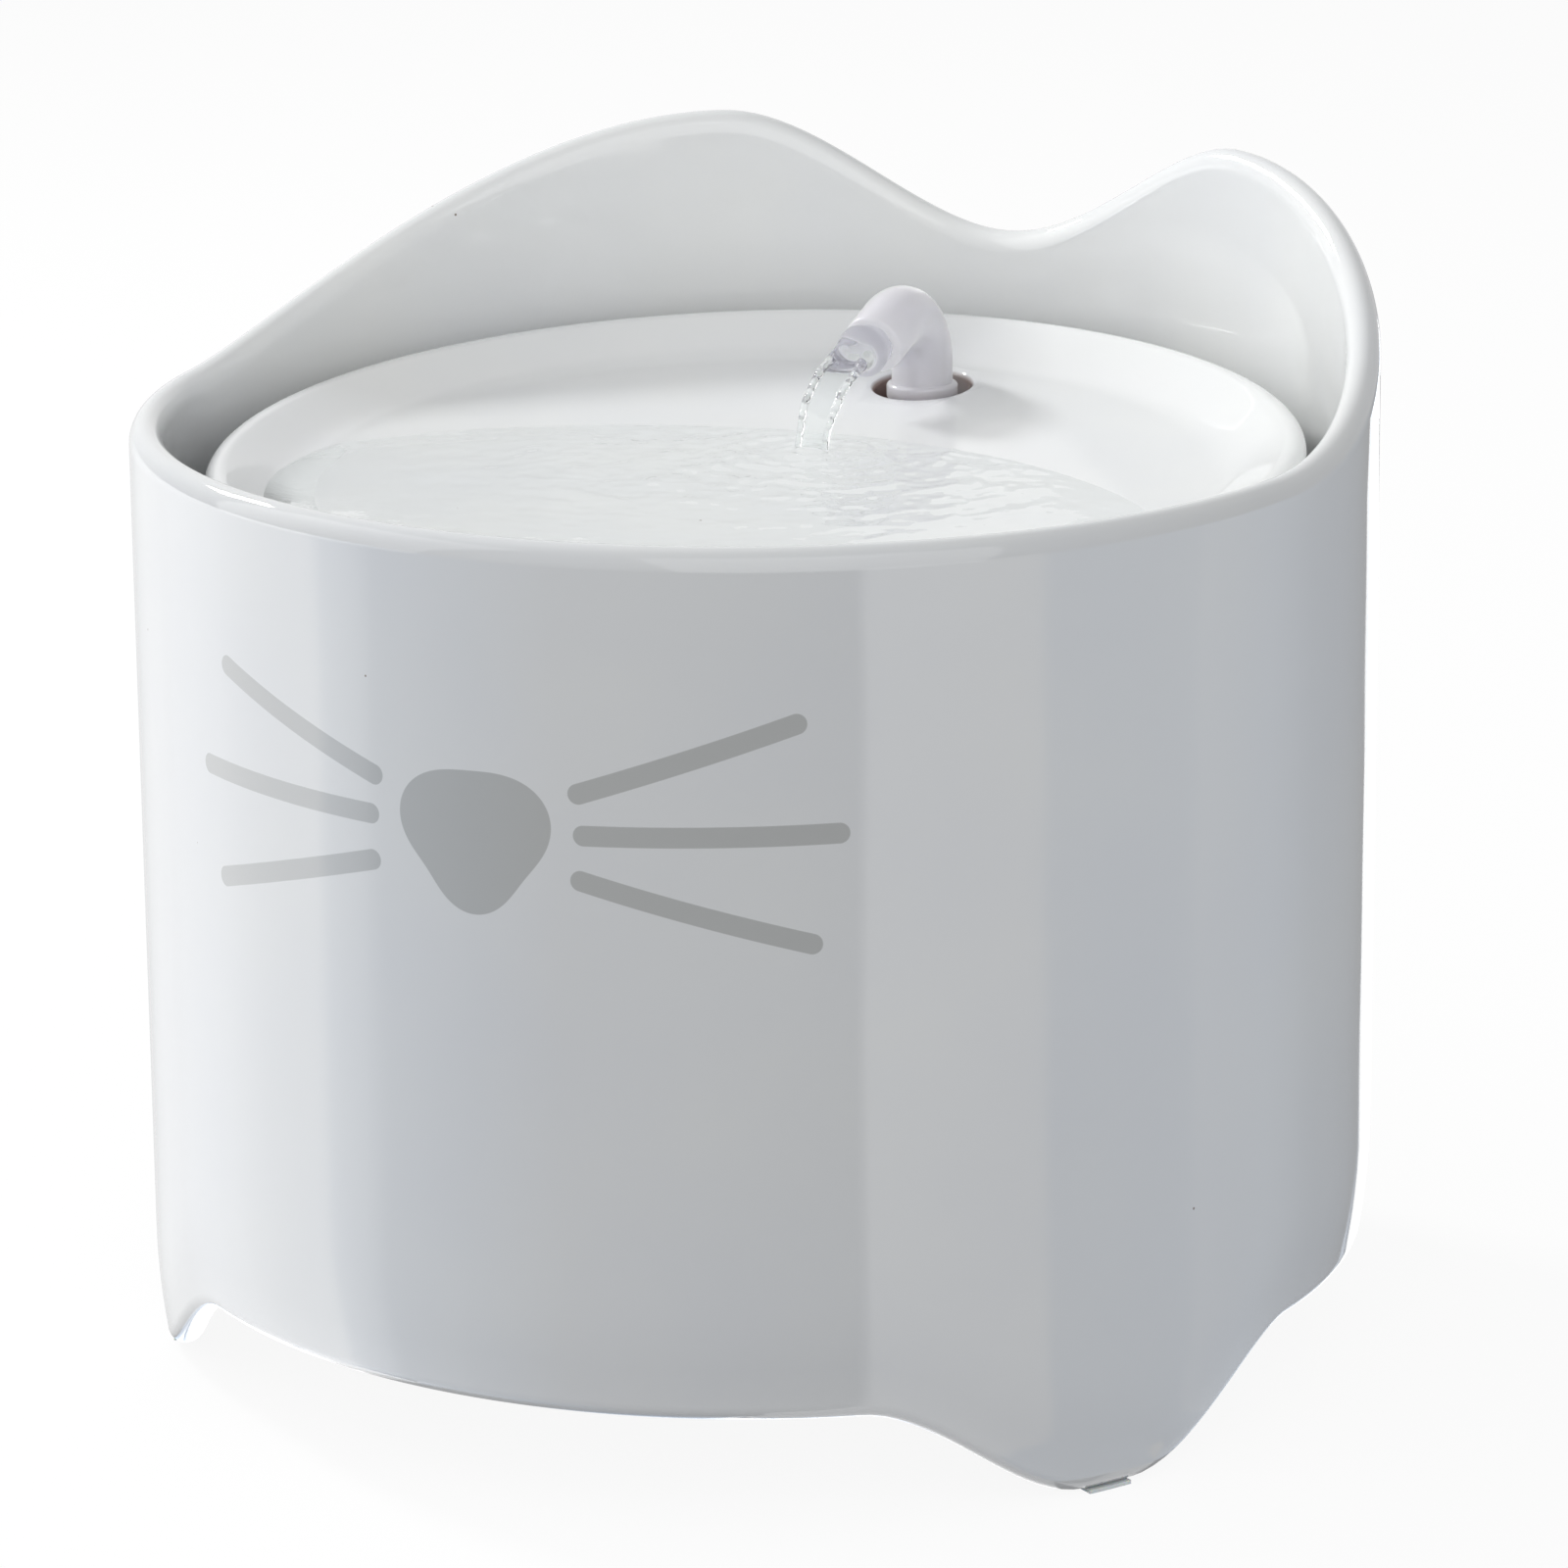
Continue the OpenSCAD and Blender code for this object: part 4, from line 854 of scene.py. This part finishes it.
# finishes of the pump, the filter and the soft fittings, which keep their meshes
finishSettings = {
    "paleSilicone": {
        "nodes": ("foot_pads", "dish_bumpers", "cord_grommet"), "roughness": 0.42, "spread": 0.15,
        "colours": ((0.76, 0.77, 0.78), (0.82, 0.83, 0.84)), "grain": 900.0, "strength": 0.25,
        "shader": {"Subsurface Weight": 0.3, "Subsurface Scale": 0.002, "IOR": 1.41},
    },
    "tubeSilicone": {
        "nodes": ("spout_sleeve", "riser_tube"), "roughness": 0.3, "spread": 0.12,
        "colours": ((0.8, 0.81, 0.82), (0.88, 0.89, 0.9)), "grain": 500.0, "strength": 0.15,
        "shader": {"Transmission Weight": 0.45, "Subsurface Weight": 0.3,
                   "Subsurface Scale": 0.003, "IOR": 1.41},
    },
    "whiteCasing": {
        "nodes": ("filter_case", "case_lid", "cartridge_frame"), "roughness": 0.3, "spread": 0.16,
        "colours": ((0.74, 0.75, 0.74), (0.81, 0.81, 0.8)), "grain": 1400.0, "strength": 0.2,
        "shader": {"Subsurface Weight": 0.08, "Subsurface Scale": 0.001, "IOR": 1.49},
    },
    "cupRubber": {
        "nodes": ("suction_cups",), "roughness": 0.25, "spread": 0.1,
        "colours": ((0.6, 0.62, 0.64), (0.7, 0.71, 0.73)), "grain": 600.0, "strength": 0.1,
        "shader": {"Transmission Weight": 0.35, "Subsurface Weight": 0.3,
                   "Subsurface Scale": 0.002, "IOR": 1.45},
    },
    "carbonPack": {
        "nodes": ("carbon_pack",), "roughness": 0.7, "spread": 0.3, "pattern": "granules",
        "patternScale": 620.0, "colours": ((0.012, 0.012, 0.013), (0.075, 0.075, 0.08)), "grain": 2600.0,
        "strength": 0.5, "shader": {},
    },
    "filterFoam": {
        "nodes": ("foam_sheet",), "roughness": 0.95, "spread": 0.05, "pattern": "cells",
        "patternScale": 700.0, "colours": ((0.004, 0.004, 0.005), (0.12, 0.13, 0.15)), "grain": 1800.0,
        "strength": 0.4, "shader": {"Sheen Weight": 0.3},
    },
    "pumpPlastic": {
        "nodes": ("motor_housing", "volute_cover", "strainer_cap"), "roughness": 0.5, "spread": 0.15,
        "colours": ((0.03, 0.034, 0.04), (0.055, 0.06, 0.068)), "grain": 1700.0, "strength": 0.5,
        "shader": {"IOR": 1.5},
    },
    "coreSheets": {
        "nodes": ("stator_core",), "roughness": 0.38, "spread": 0.2, "pattern": "sheets",
        "patternScale": 1250.0, "colours": ((0.22, 0.22, 0.23), (0.58, 0.58, 0.6)), "grain": 900.0,
        "strength": 0.3, "shader": {"Metallic": 1.0},
    },
    "coilWire": {
        "nodes": ("stator_coils",), "roughness": 0.28, "spread": 0.1, "pattern": "windings",
        "patternScale": 1000.0, "colours": ((0.3, 0.1, 0.03), (0.78, 0.36, 0.15)), "grain": 900.0,
        "strength": 0.2, "shader": {"Metallic": 1.0, "Coat Weight": 0.5, "Coat Roughness": 0.15},
    },
    "solderMask": {
        "nodes": ("driver_board",), "roughness": 0.35, "spread": 0.1, "pattern": "tracks",
        "patternScale": 260.0, "colours": ((0.02, 0.16, 0.07), (0.04, 0.24, 0.11)), "grain": 1200.0,
        "strength": 0.1, "shader": {"Coat Weight": 0.3, "Coat Roughness": 0.2},
    },
    "pottingResin": {
        "nodes": ("potting_plug",), "roughness": 0.12, "spread": 0.08,
        "colours": ((0.018, 0.018, 0.018), (0.04, 0.04, 0.042)), "grain": 120.0, "strength": 0.9,
        "shader": {"IOR": 1.55},
    },
    "blackRubber": {
        "nodes": ("cord_gland", "rear_bush", "front_bush", "cover_seal"), "roughness": 0.6, "spread": 0.2,
        "colours": ((0.022, 0.022, 0.022), (0.05, 0.05, 0.05)), "grain": 1500.0, "strength": 0.4,
        "shader": {"IOR": 1.5},
    },
    "shaftCeramic": {
        "nodes": ("shaft",), "roughness": 0.16, "spread": 0.06, "pattern": "sheets", "patternScale": 5200.0,
        "colours": ((0.76, 0.75, 0.7), (0.84, 0.83, 0.78)), "grain": 3000.0, "strength": 0.1,
        "shader": {"IOR": 1.7},
    },
    "magnetFerrite": {
        "nodes": ("rotor_magnet",), "roughness": 0.45, "spread": 0.25, "pattern": "granules",
        "patternScale": 3800.0, "colours": ((0.06, 0.06, 0.065), (0.11, 0.11, 0.12)), "grain": 2500.0,
        "strength": 0.4, "shader": {"Metallic": 0.35},
    },
    "rotorPlastic": {
        "nodes": ("impeller",), "roughness": 0.3, "spread": 0.12,
        "colours": ((0.72, 0.72, 0.69), (0.8, 0.8, 0.77)), "grain": 1500.0, "strength": 0.2,
        "shader": {"Subsurface Weight": 0.1, "Subsurface Scale": 0.001},
    },
    "dialPlastic": {
        "nodes": ("flow_dial",), "roughness": 0.42, "spread": 0.15,
        "colours": ((0.72, 0.27, 0.05), (0.8, 0.34, 0.08)), "grain": 1500.0, "strength": 0.35,
        "shader": {"IOR": 1.5},
    },
}
motorAxis = (0, 60.0, 54.9)  # a point on the pump's shaft, in mm


# height of a finish's pattern from zero to one
def addPattern(made, place, kind, scale):
    if kind in ("granules", "cells"):
        cells = made.add("ShaderNodeTexVoronoi", feature="F1" if kind == "granules" else "DISTANCE_TO_EDGE")
        cells.inputs["Scale"].default_value = scale
        made.link(place, cells.inputs["Vector"])
        if kind == "cells":
            return made.remap(cells.outputs["Distance"], 0.16, 0.02)
        return made.remap(cells.outputs["Distance"], 0.8, 0.1)
    centre = made.add("ShaderNodeMapping")
    made.link(place, centre.inputs["Vector"])
    centre.inputs["Location"].default_value = tuple(-c * mm for c in motorAxis)
    if kind == "tracks":
        bricks = made.add("ShaderNodeTexBrick")
        bricks.inputs["Scale"].default_value = scale
        bricks.inputs["Mortar Size"].default_value = 0.05
        bricks.inputs["Color1"].default_value = bricks.inputs["Color2"].default_value = (0, 0, 0, 1)
        bricks.inputs["Mortar"].default_value = (1, 1, 1, 1)
        turned = made.add("ShaderNodeMapping")
        turned.inputs["Rotation"].default_value = (0, math.pi / 2, 0)
        made.link(centre.outputs[0], turned.inputs["Vector"])
        made.link(turned.outputs[0], bricks.inputs["Vector"])
        return bricks.outputs["Color"]
    bands = made.add("ShaderNodeTexWave", wave_type="BANDS" if kind == "sheets" else "RINGS")
    if kind == "sheets":
        bands.bands_direction = "X"
    else:
        bands.rings_direction = "X"
    bands.inputs["Scale"].default_value = scale / math.pi
    bands.inputs["Distortion"].default_value = 0.4
    bands.inputs["Detail"].default_value = 1.0
    made.link(centre.outputs[0], bands.inputs["Vector"])
    return bands.outputs["Fac"]


def finishMaterial(name, s):
    material, made, shader, place = newMaterial(name)
    grain = useGroup(made, mouldGrain, place, Scale=s["grain"], Strength=s["strength"],
                     Roughness=s["roughness"], Spread=s["spread"])
    tone = made.remap(grain.outputs["Tone"], 0.3, 0.7)
    normal = grain.outputs["Normal"]
    if "pattern" in s:
        height = addPattern(made, place, s["pattern"], s["patternScale"])
        tone = made.maths("MULTIPLY_ADD", tone, 0.3, made.maths("MULTIPLY", height, 0.7))
        relief = made.add("ShaderNodeBump")
        relief.inputs["Distance"].default_value = 0.0003
        relief.inputs["Strength"].default_value = 0.7
        made.link(height, relief.inputs["Height"])
        made.link(normal, relief.inputs["Normal"])
        normal = relief.outputs["Normal"]
    first, second = ((*colour, 1) for colour in s["colours"])
    made.link(made.blend(tone, first, second), shader.inputs["Base Color"])
    made.link(grain.outputs["Roughness"], shader.inputs["Roughness"])
    made.link(normal, shader.inputs["Normal"])
    for label, value in s["shader"].items():
        shader.inputs[label].default_value = value
    return material


for finishName, finish in finishSettings.items():
    finished = finishMaterial(finishName, finish)
    for node in finish["nodes"]:
        piece = bpy.data.objects[node]
        piece.data.materials.clear()
        piece.data.materials.append(finished)
print("finishes made")


# floor, light and camera
studioSettings = {
    "floorSize": 6.0, "floorBounce": (0.48, 0.48, 0.49, 1), "floorSeen": (0.97, 0.97, 0.97, 1),
    "whiteShare": 0.92, "airLevel": 0.33,
    # bearing in degrees, level and blue of the painted reflection that the floor shows in the glaze
    "paintedReflection": [(-180, 0.3, 0), (-148, 0.35, 0), (-134, 0.5, 0), (-112, 1.0, 0), (-88, 1.8, 0.05),
                 (-61, 2.3, 0.15), (-58, 1.7, 0.3), (-50, 1.25, 0.3), (-46, 0.75, 0.3), (-26, 0.36, 0.2),
                 (-10, 0.24, 0), (44.5, 0.22, 0), (46, 1.0, 0), (79, 1.1, 0), (80.5, 0.72, 0.2),
                 (112, 0.85, 0.25), (114, 1.0, 0.2), (134, 0.8, 0.2), (150, 0.5, 0.1), (180, 0.22, 0)],
    "paintedReflectionGain": 2.0, "mirrorSteps": 5,
    # name, place, aim, size in metres and power in watts
    "lamps": [("keyLamp", (-0.99, 0.265, 0.85), (0, 0, 0.13), (0.22, 0.22), 9.0),
              ("leftSoftbox", (-1.05, -0.65, 0.60), (0, 0, 0.10), (1.3, 1.6), 8.5),
              ("rightSoftbox", (0.8, -0.95, 0.60), (0, 0, 0.08), (1.5, 1.5), 8.1),
              ("topSoftbox", (0.1, -0.35, 1.25), (0, 0, 0.1), (1.4, 1.4), 1.6)],
}
cameraSettings = {"target": (0, 0, 0.0704), "azimuth": 26.65, "elevation": 16.3, "distance": 1.1,
                  "lens": 162.6, "shift": (0.016, 0.0658), "roll": -0.58}


# one where a ray of the camera, of a mirror image or through water asks, else zero
def seenDirectly(made):
    path = made.add("ShaderNodeLightPath")
    seen = made.maths("MAXIMUM", path.outputs["Is Camera Ray"], path.outputs["Is Glossy Ray"])
    seen = made.maths("MAXIMUM", seen, path.outputs["Is Transmission Ray"])
    lighting = made.maths("GREATER_THAN", path.outputs["Diffuse Depth"], 0.5)
    return made.maths("SUBTRACT", seen, lighting, clamp=True), path.outputs["Is Glossy Ray"]


# compass bearing in which the bowl's upright wall sends the camera's view of a floor point, found by steps
def mirrorBearing(made, place):
    split = made.add("ShaderNodeSeparateXYZ")
    made.link(place, split.inputs[0])
    x, y, _ = split.outputs
    view, radius = math.radians(cameraSettings["azimuth"]), bowlSettings["radius"] * mm
    bearing = made.maths("ARCTAN2", x, made.maths("MULTIPLY", y, -1.0))
    for _ in range(studioSettings["mirrorSteps"]):
        wall = made.maths("MULTIPLY_ADD", bearing, 0.5, view / 2)
        dx = made.maths("MULTIPLY_ADD", made.maths("SINE", wall), -radius, x)
        dy = made.maths("MULTIPLY_ADD", made.maths("COSINE", wall), radius, y)
        fromWall = made.maths("ARCTAN2", dx, made.maths("MULTIPLY", dy, -1.0))
        bearing = made.maths("MULTIPLY", made.maths("ADD", bearing, fromWall), 0.5)
    return bearing


# a pale floor that looks white and keeps its shadow, and for glossy rays glows in bands by bearing, a painted
# reflection of a lit and a dim side in the glaze
def makeFloor():
    s = studioSettings
    clearSelection()
    bpy.ops.mesh.primitive_plane_add(size=s["floorSize"], location=(0, 0, 0))
    floor = bpy.context.object
    floor.name = "studioFloor"
    material, made, shader, place = newMaterial("studioFloor")
    seen, paintedReflection = seenDirectly(made)
    made.link(made.blend(seen, s["floorBounce"], s["floorSeen"]), shader.inputs["Base Color"])
    shader.inputs["Roughness"].default_value = 0.9
    shader.inputs["Specular IOR Level"].default_value = 0.0
    bearing = mirrorBearing(made, place)
    # painted reflection: bands of floor brightness by bearing, seen only in glossy rays
    ramp = made.add("ShaderNodeValToRGB")
    stops = ramp.color_ramp.elements
    while len(stops) < len(s["paintedReflection"]):
        stops.new(0.5)
    for stop, (angle, level, blue) in zip(stops, s["paintedReflection"]):
        stop.position = (angle + 180) / 360
        stop.color = (level, level + blue * 0.4, level + blue, 1)
    made.link(made.remap(bearing, -math.pi, math.pi), ramp.inputs["Fac"])
    paintedReflectionGlow = made.add("ShaderNodeEmission")
    made.link(made.blend(paintedReflection, (1, 1, 1, 1), ramp.outputs["Color"]), paintedReflectionGlow.inputs["Color"])
    made.link(made.remap(paintedReflection, 0.0, 1.0, 1.0, s["paintedReflectionGain"]), paintedReflectionGlow.inputs["Strength"])
    both = made.add("ShaderNodeMixShader")
    made.link(made.maths("MULTIPLY", seen, s["whiteShare"]), both.inputs[0])
    made.link(shader.outputs[0], both.inputs[1])
    made.link(paintedReflectionGlow.outputs[0], both.inputs[2])
    output = next(n for n in made.tree.nodes if n.type == "OUTPUT_MATERIAL")
    made.link(both.outputs[0], output.inputs["Surface"])
    floor.data.materials.append(material)


def makeStudio():
    s = studioSettings
    makeFloor()
    world = bpy.data.worlds.new("studioAir")
    scene.world = world
    world.use_nodes = True
    made = Nodes(world.node_tree)
    back = next(n for n in made.tree.nodes if n.type == "BACKGROUND")
    seen, _ = seenDirectly(made)
    made.link(made.remap(seen, 0.0, 1.0, s["airLevel"], 1.0), back.inputs["Strength"])
    back.inputs["Color"].default_value = (1, 1, 1, 1)
    for name, place, aim, size, power in s["lamps"]:
        data = bpy.data.lights.new(name, "AREA")
        data.shape, data.size, data.size_y, data.energy = "RECTANGLE", size[0], size[1], power
        lamp = bpy.data.objects.new(name, data)
        scene.collection.objects.link(lamp)
        lamp.location = place
        lamp.rotation_mode = "QUATERNION"
        lamp.rotation_quaternion = (Vector(aim) - Vector(place)).to_track_quat("-Z", "Y")
    print("studio made")


def makeCamera():
    s = cameraSettings
    data = bpy.data.cameras.new("camera")
    data.sensor_width, data.lens = 36, s["lens"]
    data.shift_x, data.shift_y = s["shift"]
    data.clip_start, data.clip_end = 0.05, 20
    camera = bpy.data.objects.new("camera", data)
    scene.collection.objects.link(camera)
    a, e = math.radians(s["azimuth"]), math.radians(s["elevation"])
    back = Vector((math.sin(a) * math.cos(e), -math.cos(a) * math.cos(e), math.sin(e)))
    camera.location = Vector(s["target"]) + back * s["distance"]
    camera.rotation_mode = "QUATERNION"
    turn = (-back).to_track_quat("-Z", "Y").to_matrix() @ Matrix.Rotation(math.radians(s["roll"]), 3, "Z")
    camera.rotation_quaternion = turn.to_quaternion()
    scene.camera = camera


makeStudio()
makeCamera()
scene.view_settings.view_transform = "Standard"
